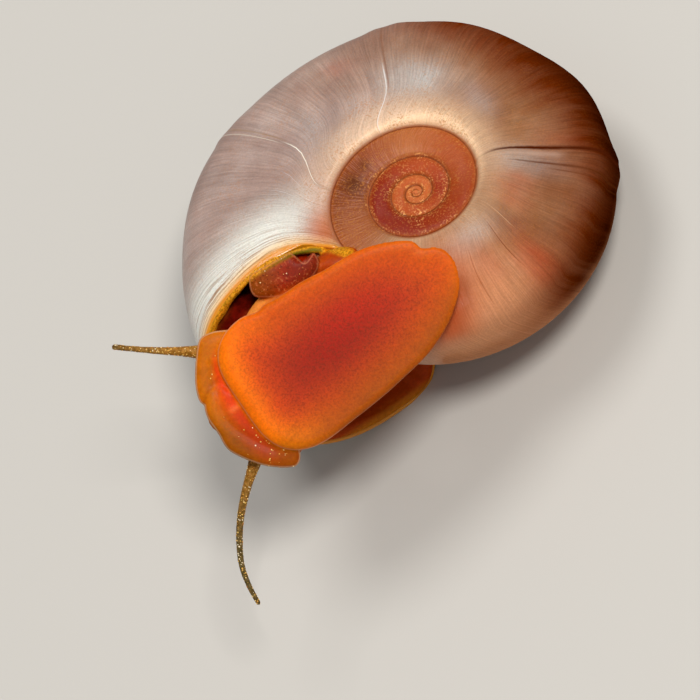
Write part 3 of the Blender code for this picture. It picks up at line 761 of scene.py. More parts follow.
def shadeShell(mesh):  # where each finish of the shell lies, from growth and from place
    grown, place, height = values(mesh, "grown"), values(mesh, "place"), values(mesh, "height")
    shoulder, behind = values(mesh, "shoulder"), values(mesh, "behindLip")
    lining, seam = values(mesh, "lining"), values(mesh, "seam")
    at = corners(mesh)
    outer = 1 - lining
    age = -grown
    spire = (1 - smoothStep(place, -0.98, -0.86)) * outer
    lastWhorl = (1 - spire) * outer
    onNear = smoothStep(height, -coil["sectionDrop"] - 0.05, -coil["sectionDrop"] + 0.1)
    store(mesh, "spire", spire)
    store(mesh, "whorl", np.clip((place + coil["turns"]) / (coil["turns"] - 1), 0, 1))
    store(mesh, "age", smoothStep(age + 0.07 * smoothStep(shoulder, 1.0, 3.5), 0.2, 0.55))
    # pale callus outside the last suture
    ring = (0.45 * bell(shoulder, 0.7, 0.7) + 0.55 * bell(shoulder, 0.22, 0.25)) * lastWhorl * onNear
    ring *= smoothStep(age, 0.05, 0.14) * (1 - 0.6 * smoothStep(age, 0.48, 0.7))
    # painted highlight: the callus is lightened at the top of the shoulder, where the light catches it
    ring += 0.6 * bell(shoulder, 0.3, 0.35) * spot(at, 0.9, 3.3, 1.7) * lastWhorl
    # between the arch of the lip and the spire it is stained amber instead
    stained = bell(np.hypot(at[:, 0] + 3.7, 0.65 * (at[:, 1] + 1.5)), 0.0, 1.0) * onNear
    ring *= 1 - 0.85 * stained - 0.4 * spot(at, -4.4, 0.4, 1.8)
    ring = np.clip(ring, 0, 0.95)
    store(mesh, "shoulderRing", ring)
    # brown outer edge with painted shade along the outline: narrow at the top, broad at the upper right,
    # narrow again below
    away = outlineAway(mesh, at)
    broad = 0.4 + 2.4 * bell(age, 0.5, 0.12) + 1.9 * bell(age, 0.66, 0.08) - 0.08 * smoothStep(age, 0.7, 0.8)
    strong = (0.25 + 0.75 * smoothStep(age, 0.25, 0.42)) * smoothStep(age, 0.04, 0.14) * lastWhorl
    strong *= 1 - 0.45 * smoothStep(age, 0.69, 0.76)
    # on the far face it stays close to the edge
    strong *= 1 - 0.75 * smoothStep(-height, coil["sectionDrop"] + 0.1, coil["sectionDrop"] + 0.32)
    store(mesh, "rimBrown", np.exp(-((away / broad) ** 2)) * strong)
    # its darkest line: dark brown skin, with painted shade where the whorl turns away from the light
    dark = strong * smoothStep(age, 0.3, 0.56) * (1 - 0.5 * smoothStep(age, 0.67, 0.75))
    store(mesh, "rimDark", np.exp(-((away / (0.42 * broad)) ** 1.4)) * dark)
    store(mesh, "lipBand", (1 - smoothStep(behind, 0.5, 1.9)) * outer)
    whiteness = 0.6 * (1 - smoothStep(behind, 1.1, 2.8)) + 0.4 * (1 - smoothStep(behind, 2.0, 4.0))
    store(mesh, "lipWhite", whiteness * smoothStep(shoulder, 0.2, 1.6) * outer * (1 - 0.9 * stained))
    farLip = 1 - smoothStep(height, -0.6, -0.4)
    store(mesh, "lipCream", 0.8 * (1 - smoothStep(behind, 0.15, 0.8)) * outer * (1 - farLip))
    yellow = (1 - smoothStep(behind, 0.05, 0.2)) * (1 - 0.5 * lining)
    yellow = np.maximum(yellow, 0.8 * lining * (1 - smoothStep(behind, 0.2, 0.7)))
    store(mesh, "lipYellow", np.maximum(yellow, 0.9 * farLip * (1 - smoothStep(behind, 0.2, 0.6))))
    lower = smoothStep(-at[:, 1], 1.0, 5.0) * smoothStep(at[:, 0], -1.5, 1.5)
    store(mesh, "peach", np.maximum(0.7 * lower, 0.9 * stained) * lastWhorl)
    for name, spots in patches.items():
        store(mesh, name, patchShare(at, spots) * lastWhorl * onNear)
    # painted glow: orange where the flesh shines through the thin shell, also lit in the shade of the foot;
    # the spot by the arch is a stain
    reddened = np.hypot(at[:, 0] - 1.3, (at[:, 1] + 4.9) * 0.5)
    glow = np.maximum(0.85 * bell(reddened, 0.0, 1.2), 0.95 * spot(at, 0.9, -6.9, 0.9))
    glow = np.maximum(glow, 0.45 * spot(at, -3.9, -1.75, 0.75))
    store(mesh, "glow", glow * lastWhorl * onNear)
    fromApex = np.hypot(at[:, 0], at[:, 1])
    stain = spot(at, -2.65, 0.35, 0.42) + 0.6 * spot(at, -2.2, 1.15, 0.3)
    store(mesh, "umber", np.clip(stain, 0, 0.85) * spire)
    # gilded grains along the sutures; the spot below the apex is a painted glint of the light over pale
    # grains
    alongSeam = 0.7 * bell(seam, 0.1, 0.07) * (1 - 0.6 * smoothStep(fromApex, 1.8, 2.6))
    gilt = 0.3 * bell(fromApex, 0.95, 0.4) + alongSeam + 0.7 * spot(at, -0.1, -1.1, 0.4)
    store(mesh, "gilt", np.clip((gilt + 0.06) * spire + 0.25 * bell(seam, 0.0, 0.12) * lastWhorl, 0, 1))
    # the brown skin at the edge and over the outer spire is dull, the bare pearl and the first whorls are wet
    dull = spire * 0.45 * smoothStep(fromApex, 1.6, 3.0) + 0.4 * lastWhorl * smoothStep(at[:, 0], 1.5, 4.0)
    dull += 0.45 * lastWhorl * smoothStep(at[:, 0], 0.0, 1.6) * smoothStep(-at[:, 1], 1.2, 3.4)
    store(mesh, "dull", dull + values(mesh, "rimBrown"))
    store(mesh, "firstWhorls", spire * (1 - smoothStep(fromApex, 1.6, 3.0)))
    freckled = 0.45 + 0.55 * bell(shoulder, 0.4, 1.6) - 0.15 * smoothStep(age, 0.4, 0.6)
    store(mesh, "freckled", np.clip(freckled, 0, 1) * outer * (1 - 0.8 * values(mesh, "rimBrown")))


shadeShell(shellMesh)
finished("snailShell", shellMesh, nacre, "shell", "shell")
print("shell grown:", len(shellMesh.polygons), "faces")


# ---- soft body ----
body = {
    "soleHeight": 4.6,
    "soleCentre": (-3.29, -6.58),
    "soleTurn": 39.0,
    # distance from the middle of the sole to its margin, every 18 degrees from the tail
    "soleRadii": (6.12, 5.4, 4.35, 3.52, 3.2, 3.18, 3.5, 4.4, 5.06, 4.85,
                  4.74, 4.84, 4.34, 3.42, 2.92, 2.78, 2.89, 3.31, 4.16, 5.35),
    # where the margin is pinched or pushed out: degrees from the tail, mm and degrees
    "soleDents": ((11.0, -0.33, 3.4), (0.0, 0.09, 5.0), (117.0, -0.18, 4.0)),
    # depth below the sole, scale, slide towards the head and roundness
    "footRings": (
        (0.0, 0.55, 0.0, 0.0), (0.0, 0.91, 0.0, 0.0), (0.03, 0.945, 0.0, 0.0), (0.1, 0.974, 0.0, 0.0),
        (0.2, 0.992, 0.0, 0.0), (0.34, 1.0, 0.0, 0.0), (0.5, 0.988, 0.0, 0.0), (0.65, 0.95, -0.02, 0.0),
        (0.8, 0.88, -0.1, 0.0), (1.15, 0.72, -0.6, 0.2), (1.6, 0.57, -1.3, 0.6), (2.35, 0.5, -2.03, 1.0),
        (3.2, 0.5, -2.03, 1.0),
    ),
    "stalkRadius": 2.2,
    "stalkSide": 0.2,
    "tailLift": 0.14,
    "headCentre": (-3.45, 0.65),
    "headTop": 4.0,
    "headRadii": (2.5, 2.6, 2.7, 2.85, 3.05, 3.22, 2.95, 2.7, 2.75, 2.96, 3.18, 3.42, 3.0, 2.9, 2.8, 2.6),
    "headRings": ((0.0, 0.5, 0.0), (0.0, 0.86, 0.0), (0.08, 0.93, 0.0), (0.3, 0.965, 0.0), (0.6, 0.965, 0.03),
                  (1.15, 0.87, 0.18), (1.75, 0.67, 0.52), (2.3, 0.45, 0.9), (2.9, 0.4, 0.95)),
    "neckRings": (
        ((-4.95, -7.2, -1.3), (0.4, -0.5, 0.77), 1.85), ((-4.95, -7.6, 0.1), (0.1, -0.1, 0.98), 2.15),
        ((-5.0, -7.7, 1.2), (0.0, 0.0, 1.0), 2.25), ((-5.0, -7.7, 2.4), (0.0, 0.0, 1.0), 2.1),
    ),
    # how far it swells past the lip, from the outer side round to the arch by the spire
    "mantleOut": ((-0.5, 0.1, 0.8, 1.4, 2.1), (0.0, 0.12, 0.16, 0.3, 0.44)),
    "mantleThick": ((0.9, 1.5), (1.0, 0.72)),
    "voxel": 0.062,
    "faces": 185000,
}
# Outer lines of the two lobes of the lip and of the folded gill, as (x, y).
upperLobe = ((-8.99, -6.1), (-9.2, -6.6), (-9.29, -7.7), (-9.22, -8.45), (-8.98, -8.95), (-8.3, -9.1),
             (-7.5, -8.2), (-7.1, -7.0), (-7.4, -5.95), (-8.3, -5.84))
lowerLobe = ((-8.70, -8.25), (-8.87, -8.65), (-8.88, -9.15), (-8.72, -9.6), (-8.32, -10.17), (-8.03, -10.69),
             (-7.72, -10.98), (-7.0, -11.32), (-6.17, -11.56), (-5.3, -11.6), (-4.93, -11.44), (-4.87, -10.9),
             (-5.4, -10.0), (-6.6, -9.3), (-7.4, -8.6), (-8.2, -8.1))
gillLobe = ((-7.02, -3.55), (-7.03, -4.02), (-6.82, -4.42), (-6.3, -4.48), (-5.6, -4.4), (-4.8, -4.0),
            (-4.2, -3.4), (-4.08, -2.95), (-4.2, -2.66), (-4.35, -2.56), (-4.5, -2.78), (-4.71, -2.98),
            (-4.95, -2.8), (-5.3, -2.56), (-5.65, -2.74), (-6.16, -3.02), (-6.67, -3.28))
# Tentacles as (x, y, z, radius) from root to tip.
leftTentacle = ((-7.9, -6.85, 2.95, 0.42), (-8.9, -6.77, 3.0, 0.33), (-9.4, -6.74, 3.06, 0.26),
                (-10.1, -6.72, 3.05, 0.19), (-10.85, -6.7, 3.0, 0.16), (-11.95, -6.62, 2.85, 0.125),
                (-12.5, -6.56, 2.75, 0.13), (-12.72, -6.54, 2.72, 0.125))
rightTentacle = ((-6.5, -10.0, 2.8, 0.45), (-6.62, -10.9, 2.92, 0.35), (-6.82, -11.5, 2.96, 0.27),
                 (-7.02, -12.1, 2.98, 0.21), (-7.2, -12.75, 3.0, 0.185), (-7.38, -13.6, 2.99, 0.165),
                 (-7.44, -14.5, 2.98, 0.15), (-7.38, -15.7, 2.9, 0.135), (-6.98, -16.7, 2.8, 0.12),
                 (-6.58, -17.38, 2.7, 0.11))


def loft(rings):
    count = len(rings[0])
    points = [Vector(p) for ring in rings for p in ring]
    faces = []
    for k in range(len(rings) - 1):
        for j in range(count):
            a, b = k * count + j, k * count + (j + 1) % count
            faces.append((a, b, b + count, a + count))
    for start in (0, (len(rings) - 1) * count):
        hub = len(points)
        points.append(sum(points[start:start + count], Vector()) / count)
        faces += [(start + j, start + (j + 1) % count, hub) for j in range(count)]
    return points, faces


def smoothLoop(points, count):  # a closed curve through points
    points = np.array(points, dtype=float)
    total = len(points)
    found = []
    for t in np.linspace(0, total, count, endpoint=False):
        k, f = int(t), t - int(t)
        a, b, c, d = (points[(k + n) % total] for n in (-1, 0, 1, 2))
        found.append(0.5 * (2 * b + (c - a) * f + (2 * a - 5 * b + 4 * c - d) * f ** 2
                            + (3 * b - a - 3 * c + d) * f ** 3))
    return np.array(found)


def bodyAxes():
    turn = math.radians(body["soleTurn"])
    along = Vector((math.cos(turn), math.sin(turn), 0))
    return Vector((*body["soleCentre"], 0)), along, Vector((-along.y, along.x, 0))


def padRing(centre, radii, height, count=180, dents=()):
    middle, along, across = bodyAxes()
    middle = middle + along * centre[0] + across * centre[1]
    spectrum = np.fft.rfft(np.array(radii))
    middle.z = height
    ring = []
    for k in range(count):
        angle = math.tau * k / count
        terms = [c * np.exp(1j * angle * n) for n, c in enumerate(spectrum)]
        radius = (terms[0] + 2 * sum(terms[1:-1]) + terms[-1]).real / len(radii)
        for place, rise, width in dents:
            off = (math.degrees(angle) - place + 180) % 360 - 180
            radius += rise * math.exp(-((off / width) ** 2))
        ring.append(middle + (along * math.cos(angle) + across * math.sin(angle)) * radius)
    return ring


def footShape():
    middle, along, _ = bodyAxes()
    rings = []
    for depth, scale, slide, roundness in body["footRings"]:
        radii = np.array(body["soleRadii"]) * scale * (1 - roundness) + body["stalkRadius"] * roundness
        dents = [(place, rise * (1 - roundness), width) for place, rise, width in body["soleDents"]]
        ring = padRing((slide, body["stalkSide"] * roundness), radii, body["soleHeight"] - depth, dents=dents)
        for p in ring:
            p.z += body["tailLift"] * depth * (1 - roundness) * max(0.0, (p - middle).dot(along))
        rings.append(ring)
    return loft(rings)


def headShape():
    rings = []
    for depth, scale, slide in body["headRings"]:
        centre = (body["headCentre"][0] + slide, body["headCentre"][1])
        rings.append(padRing(centre, np.array(body["headRadii"]) * scale, body["headTop"] - depth))
    return loft(rings)


def lobeShape(outline, top, layers, count=140):  # a soft flap from its outline; layers are depth and inset
    line = smoothLoop(outline, count)
    middle = line.mean(axis=0)
    reach = np.linalg.norm(line - middle, axis=1).mean()
    rings = []
    for depth, inset in layers:
        flat = middle + (line - middle) * (1 - inset / reach)
        rings.append([(x, y, top - depth) for x, y in flat])
    return loft(rings)


def tubeShape(stations, count=18):  # a tapering thread with a rounded tip
    stations = np.array(stations)
    knots = np.arange(len(stations))
    fine = np.linspace(0, len(stations) - 1, 14 * len(stations))
    a = [np.interp(np.clip(fine + s, 0, len(stations) - 1), knots, stations[:, c]) for c in range(4)
         for s in (-0.45, -0.2, 0.0, 0.2, 0.45)]
    path = np.array([np.mean(a[5 * c:5 * c + 5], axis=0) for c in range(4)]).T
    tip = path[-1].copy()
    heading = path[-1, :3] - path[-4, :3]
    heading /= np.linalg.norm(heading)
    extra = []
    for share in (0.35, 0.65, 0.88, 0.98):
        extra.append([*(tip[:3] + heading * tip[3] * share), tip[3] * math.sqrt(1 - share ** 2)])
    path = np.vstack([path, extra])
    rings = []
    for k, (x, y, z, radius) in enumerate(path):
        before, after = path[max(k - 1, 0), :3], path[min(k + 1, len(path) - 1), :3]
        way = Vector(after - before).normalized()
        first = (Vector((0, 0, 1)) - way * way.z).normalized()
        second = way.cross(first)
        turned = [math.tau * j / count for j in range(count)]
        rings.append([Vector((x, y, z)) + (first * math.cos(t) + second * math.sin(t)) * float(radius)
                      for t in turned])
    return loft(rings)


def ballShape(centre, size, turn):
    work = bmesh.new()
    bmesh.ops.create_icosphere(work, subdivisions=4, radius=1.0)
    turned = Matrix.Translation(centre) @ Matrix.Rotation(math.radians(turn), 4, "Z")
    bmesh.ops.transform(work, matrix=turned @ Matrix.Diagonal((*size, 1.0)), verts=work.verts)
    points = [v.co.copy() for v in work.verts]
    faces = [tuple(v.index for v in f.verts) for f in work.faces]
    work.free()
    return points, faces


def collarShape(count=150):  # the mantle edge, which lines the lip from one suture to the other
    near = float(sutures(np.array([math.exp(coil["growthPerTurn"])]), np.array([0.02]), True)[0][0])
    far = float(sutures(np.array([math.exp(coil["growthPerTurn"])]), np.array([0.02]), False)[0][0])
    angles = np.linspace(near - 0.12, far + 0.2, count)
    # distance behind the lip and depth under the outer face, round the band
    line = ((4.4, 0.44), (3.4, 0.4), (2.4, 0.36), (1.5, 0.27), (0.8, 0.2), (0.3, 0.16), (0.05, 0.13),
            (-0.02, 0.22), (0.02, 0.38), (0.14, 0.52), (0.5, 0.62), (1.1, 0.78), (2.0, 0.95), (3.2, 1.05),
            (4.4, 1.05))
    rings = []
    for angle in angles:
        ripple = 0.05 * math.sin(angle * 9.0) + 0.03 * math.sin(angle * 23.0 + 1.0)
        ring = []
        out = float(np.interp(angle, *body["mantleOut"]))
        thick = float(np.interp(angle, *body["mantleThick"]))
        close = 0.06 * float(smoothStep(angle, -0.6, 0.0))  # on the near side it clings to the lip
        for behind, depth in line:
            if behind < 0.5 and depth < 0.3:
                depth -= close
            if behind < 0.8:  # it swells out of the lip on the near side
                behind -= out * (1 - behind / 0.8)
            depth = depth * thick + ripple * (depth > 0.25)
            radius, height = insetPoint(np.array([angle]), depth / coil["lipRadius"])
            place = -behind / (math.tau * coil["lipRadius"] * max(float(radius[0]), 0.5))
            moved = ramp(np.array([place])) * lipShift(*sectionPoint(np.array([angle]))) / math.tau
            ring.append(coilPoint(place + moved, radius, height)[0])
        rings.append(ring)
    return loft(rings)


def neckShape(count=48):
    rings = []
    for turn in np.linspace(-0.19, -0.05, 10):
        wide = turn < -0.12
        (low, high), (down, top) = ((0.60, 0.9), (-0.58, -0.04)) if wide else ((0.58, 0.84), (-0.54, -0.1))
        angle = np.linspace(-math.pi, math.pi, count, endpoint=False)
        radius = (low + high) / 2 + (high - low) / 2 * np.cos(angle)
        height = (down + top) / 2 + (top - down) / 2 * np.sin(angle)
        moved = ramp(np.array([turn])) * lipShift(radius, height) / math.tau
        rings.append(list(coilPoint(turn + moved, radius, height)))
    out = coilToSole @ Vector((math.cos(math.radians(coil["lipAngle"])),
                               math.sin(math.radians(coil["lipAngle"])), 0))
    for centre, direction, radius in body["neckRings"]:
        direction = Vector(direction).normalized()
        first = (out - direction * out.dot(direction)).normalized()
        second = first.cross(direction)
        turned = [math.tau * j / count - math.pi for j in range(count)]
        rings.append([Vector(centre) + (first * math.cos(t) + second * math.sin(t)) * radius for t in turned])
    return loft(rings)


def meshFrom(name, points, faces):
    mesh = bpy.data.meshes.new(name)
    mesh.from_pydata([tuple(p) for p in points], [], faces)
    facedOut(mesh)
    return mesh


rimLayers = ((0.0, 1.0), (0.0, 0.4), (0.04, 0.17), (0.12, 0.05), (0.22, 0.0), (0.34, 0.03), (0.5, 0.2),
             (0.75, 0.5))
gillLayers = ((-0.04, 0.6), (0.0, 0.3), (0.06, 0.14), (0.16, 0.03), (0.28, 0.0), (0.5, 0.03), (0.8, 0.15),
              (1.1, 0.4))
softParts = {
    "foot": footShape(),
    "head": headShape(),
    "upper": lobeShape(upperLobe, 4.05, rimLayers),
    "lower": lobeShape(lowerLobe, 4.17, rimLayers),
    "bulge": ballShape((-8.52, -9.72, 3.86), (0.15, 0.36, 0.16), 30.0),
    "neck": neckShape(),
    "collar": collarShape(),
    "collarEnd": ballShape((-3.75, -2.5, 0.52), (0.45, 0.2, 0.25), 0.0),
    "gill": lobeShape(gillLobe, 1.85, gillLayers),
    "flank": ballShape((-5.45, -4.64, 0.8), (2.25, 0.93, 1.1), 38.0),
    "flankRoot": ballShape((-5.9, -5.9, 0.0), (1.9, 1.35, 1.3), 38.0),
    "inner": ballShape((-3.45, -3.05, 0.95), (1.2, 0.62, 0.8), 25.0),
    # the roof and wall balls fill the hollow of the aperture; their dark red is painted shade
    "roof": ballShape((-4.75, -2.9, -0.4), (0.9, 0.6, 0.6), 30.0),
    "wall": ballShape((-7.6, -5.3, -1.0), (1.3, 0.8, 0.7), 38.0),
    "left": tubeShape(leftTentacle),
    "right": tubeShape(rightTentacle),
}
partMeshes = {name: meshFrom(name, *shape) for name, shape in softParts.items()}
print("soft parts lofted")


def joinedSkin():  # one closed skin over all soft parts
    points, faces = [], []
    for mesh in partMeshes.values():
        start = len(points)
        points += [v.co.copy() for v in mesh.vertices]
        faces += [tuple(start + k for k in p.vertices) for p in mesh.polygons]
    mesh = bpy.data.meshes.new("joined")
    mesh.from_pydata(points, [], faces)
    base = linked("joined", mesh)
    remesh = base.modifiers.new("remesh", "REMESH")
    remesh.mode = "VOXEL"
    remesh.voxel_size = body["voxel"]
    remesh.use_smooth_shade = True
    relax = base.modifiers.new("relax", "SMOOTH")
    relax.factor = 0.5
    relax.iterations = 5
    return baked(base)


def onePiece(mesh):  # keeps the outer skin and drops closed bubbles inside it
    work = bmesh.new()
    work.from_mesh(mesh)
    left = set(work.verts)
    largest = []
    while left:
        island = [left.pop()]
        for vertex in island:
            for edge in vertex.link_edges:
                other = edge.other_vert(vertex)
                if other in left:
                    left.remove(other)
                    island.append(other)
        if len(island) > len(largest):
            largest = island
    kept = set(largest)
    bmesh.ops.delete(work, geom=[v for v in work.verts if v not in kept], context="VERTS")
    work.to_mesh(mesh)
    work.free()


skinMesh = joinedSkin()
onePiece(skinMesh)
print("skin joined:", len(skinMesh.polygons), "faces")


def thinned(mesh, faces):  # fewer triangles inside the shell, where nothing is seen
    base = linked("thinned", mesh)
    at = corners(mesh)
    seen = smoothStep(at[:, 2], 0.0, 1.2)
    group = base.vertex_groups.new(name="hidden")
    for weight in np.linspace(0.1, 1.0, 10):
        chosen = np.nonzero(np.round(1 - seen, 1) == round(float(weight), 1))[0]
        group.add([int(k) for k in chosen], float(weight), "REPLACE")
    modifier = base.modifiers.new("decimate", "DECIMATE")
    modifier.ratio = min(1.0, faces / (2 * len(mesh.polygons)))
    modifier.vertex_group = "hidden"
    modifier.vertex_group_factor = 1.0
    return baked(base)


skinMesh = thinned(skinMesh, body["faces"])
print("skin thinned:", len(skinMesh.polygons), "faces")


def lineDistance(at, line, closed=False):  # in the plane of the sole
    line = np.asarray(line, dtype=float)
    ends = np.roll(line, -1, axis=0) if closed else line[1:]
    best = np.full(len(at), 1e9)
    for a, b in zip(line, ends):
        span = b - a
        t = np.clip(((at - a) @ span) / max(span @ span, 1e-9), 0, 1)
        best = np.minimum(best, np.linalg.norm(at - a - t[:, None] * span, axis=1))
    return best


def inwardFrom(at, line):  # distance inside a closed line, below zero outside it
    inside = np.zeros(len(at), dtype=bool)
    for a, b in zip(line, np.roll(line, -1, axis=0)):
        crosses = (a[1] > at[:, 1]) != (b[1] > at[:, 1])
        x = a[0] + (at[:, 1] - a[1]) * (b[0] - a[0]) / (b[1] - a[1] if b[1] != a[1] else 1e-9)
        inside ^= crosses & (at[:, 0] < x)
    away = lineDistance(at, line, closed=True)
    return np.where(inside, away, -away)


mouth = {
    "outer": ((-8.61, -7.3), (-8.5, -7.9), (-8.33, -8.5), (-8.2, -9.1), (-7.95, -9.62), (-7.58, -9.99),
              (-7.2, -10.22), (-6.64, -10.55), (-6.0, -10.82)),
    "fold": ((-7.72, -9.22), (-7.52, -9.08), (-7.36, -8.93)),
    "seam": ((-8.9, -9.0), (-8.8, -8.5), (-8.6, -8.1), (-8.3, -7.85)),
}
# The inner line of the lip as it shows beside the gill.
lipLine = ((-8.9, -5.4), (-8.78, -4.77), (-8.31, -4.43), (-7.81, -4.18), (-6.96, -3.42), (-6.12, -2.91),
           (-5.15, -2.41), (-4.35, -2.24), (-3.5, -2.32), (-2.87, -2.57))


def shapeHead(mesh):  # the groove inside the lip, and the folds round the mouth
    at = corners(mesh)
    flat = at[:, :2]
    headLevel = bell(at[:, 2], 4.08, 0.22) * smoothStep(towardViewer(mesh), 0.3, 0.8)
    rise = -0.05 * bell(lineDistance(flat, mouth["outer"]), 0.0, 0.16)
    rise += 0.045 * bell(lineDistance(flat, mouth["fold"]), 0.0, 0.1)
    at[:, 2] += rise * headLevel
    mesh.vertices.foreach_set("co", at.ravel())
    mesh.update()


shapeHead(skinMesh)


def shadeSkin(mesh):  # where each tint of the flesh lies
    at = corners(mesh)
    flat = at[:, :2]
    trees = {name: BVHTree.FromPolygons([v.co for v in part.vertices], [p.vertices for p in part.polygons])
             for name, part in partMeshes.items()}
    zones = {"foot": ("foot",), "head": ("head", "upper", "lower", "bulge"), "gill": ("gill",),
             "collar": ("collar", "collarEnd"), "neck": ("neck", "flank", "flankRoot", "inner"),
             "cave": ("roof", "wall"), "feeler": ("left", "right")}
    reach, beyond = 1.0, 9.0
    fading = 0.05  # mm over which one tint gives way to the next
    nearest = {}
    for zone, names in zones.items():
        away = np.full(len(at), beyond)
        for name in names:
            tree = trees[name]
            found = [tree.find_nearest(p, reach)[3] for p in at]
            away = np.minimum(away, [beyond if d is None else d for d in found])
        nearest[zone] = away
    weights = {zone: np.exp(-away / fading) for zone, away in nearest.items()}
    total = sum(weights.values()) + 1e-12
    share = {zone: weight / total for zone, weight in weights.items()}
    for zone in zones:
        store(mesh, zone, share[zone])
    outline = padRing((0.0, 0.0), body["soleRadii"], 0.0, 240, body["soleDents"])
    inward = inwardFrom(flat, np.array([p[:2] for p in outline]))
    store(mesh, "soleEdge", np.clip(inward / 3.0, 0, 1))
    middle, along, across = bodyAxes()
    lengthwise = (flat - np.array(middle)[:2]) @ np.array(along)[:2]
    sidewise = (flat - np.array(middle)[:2]) @ np.array(across)[:2]
    # the front margin is yellow, the tail and the upper margin redder; the lower margin is darker, painted
    # shade, most by the tail
    front = smoothStep(-lengthwise, 0.8, 4.6)
    store(mesh, "front", front)
    store(mesh, "frontLow", smoothStep(-sidewise, 0.2, 2.4) * smoothStep(-lengthwise, 1.5, 4.0))
    store(mesh, "tailLow", smoothStep(-sidewise, 0.0, 2.3) * (1 - smoothStep(-lengthwise, 1.5, 5.0)))
    # red heart of the sole, shifted off the middle
    store(mesh, "heart", np.exp(-((lengthwise / 3.6) ** 2 + ((sidewise - 0.25) / 1.75) ** 2)))
    store(mesh, "blush", np.exp(-(((lengthwise - 1.2) / 2.2) ** 2 + ((sidewise - 0.9) / 0.9) ** 2)))
    # thin pale lines run along the margins of the sole and of the lip lobes
    onSole = smoothStep(at[:, 2], body["soleHeight"] - 0.6, body["soleHeight"] - 0.25)
    store(mesh, "soleAway", inward)
    store(mesh, "soleLine", onSole * smoothStep(-lengthwise, 1.2, 3.2) * share["foot"])
    inLobes = np.full(len(at), -beyond)
    for lobe in (upperLobe, lowerLobe):
        inLobes = np.maximum(inLobes, inwardFrom(flat, smoothLoop(lobe, 160)))
    store(mesh, "lobeAway", inLobes)
    store(mesh, "lobeLine", bell(at[:, 2], 3.95, 0.35) * share["head"])
    store(mesh, "fold", bell(lineDistance(flat, mouth["fold"]), 0.0, 0.14) * share["head"] * 0.5)
    store(mesh, "lobeSeam", bell(lineDistance(flat, mouth["seam"]), 0.0, 0.09) * share["head"] * 0.35)
    # red fades into amber away from the margin of the foot, and both darken towards the lower lobe
    width = 0.2 + 0.45 * smoothStep(-flat[:, 1], 7.2, 9.4)
    red = (1 - smoothStep(-inward, 0.35 * width, 1.75 * width)) * smoothStep(-flat[:, 1], 6.3, 7.6)
    red *= 1 - 0.8 * smoothStep(flat[:, 0], -6.6, -5.3) * smoothStep(-flat[:, 1], 9.5, 10.3)
    store(mesh, "mouthRed", red * share["head"])
    store(mesh, "lobeLow", smoothStep(-flat[:, 1], 8.6, 10.6))
    root = np.hypot(at[:, 0] + 7.8, at[:, 1] + 8.4)
    store(mesh, "feelerOut", smoothStep(root, 1.8, 7.0))
    # mantle edge: olive at the near lip, orange red at the far lip
    store(mesh, "nearLip", smoothStep(at[:, 2], -1.0, -0.3))
    # painted shade deep inside the aperture
    store(mesh, "deep", 1 - smoothStep(at[:, 2], -0.5, 0.9))
    store(mesh, "rightCave", smoothStep(at[:, 0], -6.4, -5.4))
    fromLip = lineDistance(flat, lipLine)
    store(mesh, "lipBeside", (1 - smoothStep(fromLip, 0.1, 0.36)) * smoothStep(at[:, 2], 0.5, 1.1))
    wide = smoothStep(at[:, 0], -6.8, -5.6)
    band = bell(fromLip, 0.32 - 0.12 * wide, 0.1) * (0.35 + 0.65 * wide)
    store(mesh, "oliveBand", band * (1 - smoothStep(at[:, 0], -4.15, -3.85)))
    pale = (at[:, 0] + 6.9) * 0.79 - (at[:, 1] + 4.9) * 0.62
    store(mesh, "flankPale", bell(pale, 0.1, 0.4) * smoothStep(at[:, 2], 0.4, 1.1) * share["neck"])
    # gill: tone from left to right, thin pale outline
    store(mesh, "gillTone", smoothStep(at[:, 0], -7.0, -4.2))
    store(mesh, "gillAway", inwardFrom(flat, smoothLoop(gillLobe, 160)))
    store(mesh, "gillLine", smoothStep(at[:, 2], 1.1, 1.6) * share["gill"])
    # the far lip's mantle, seen past the foot
    farSide = smoothStep(-at[:, 2], -1.5, 0.5) * smoothStep(-at[:, 1], 6.0, 7.5)
    store(mesh, "farFlap", farSide)
    flapOut = flat @ np.array((0.55, -0.835))
    furthest = flapOut[farSide > 0.5].max()
    store(mesh, "flapRim", smoothStep(flapOut, furthest - 0.5, furthest - 0.1))


shadeSkin(skinMesh)
print("skin tinted")


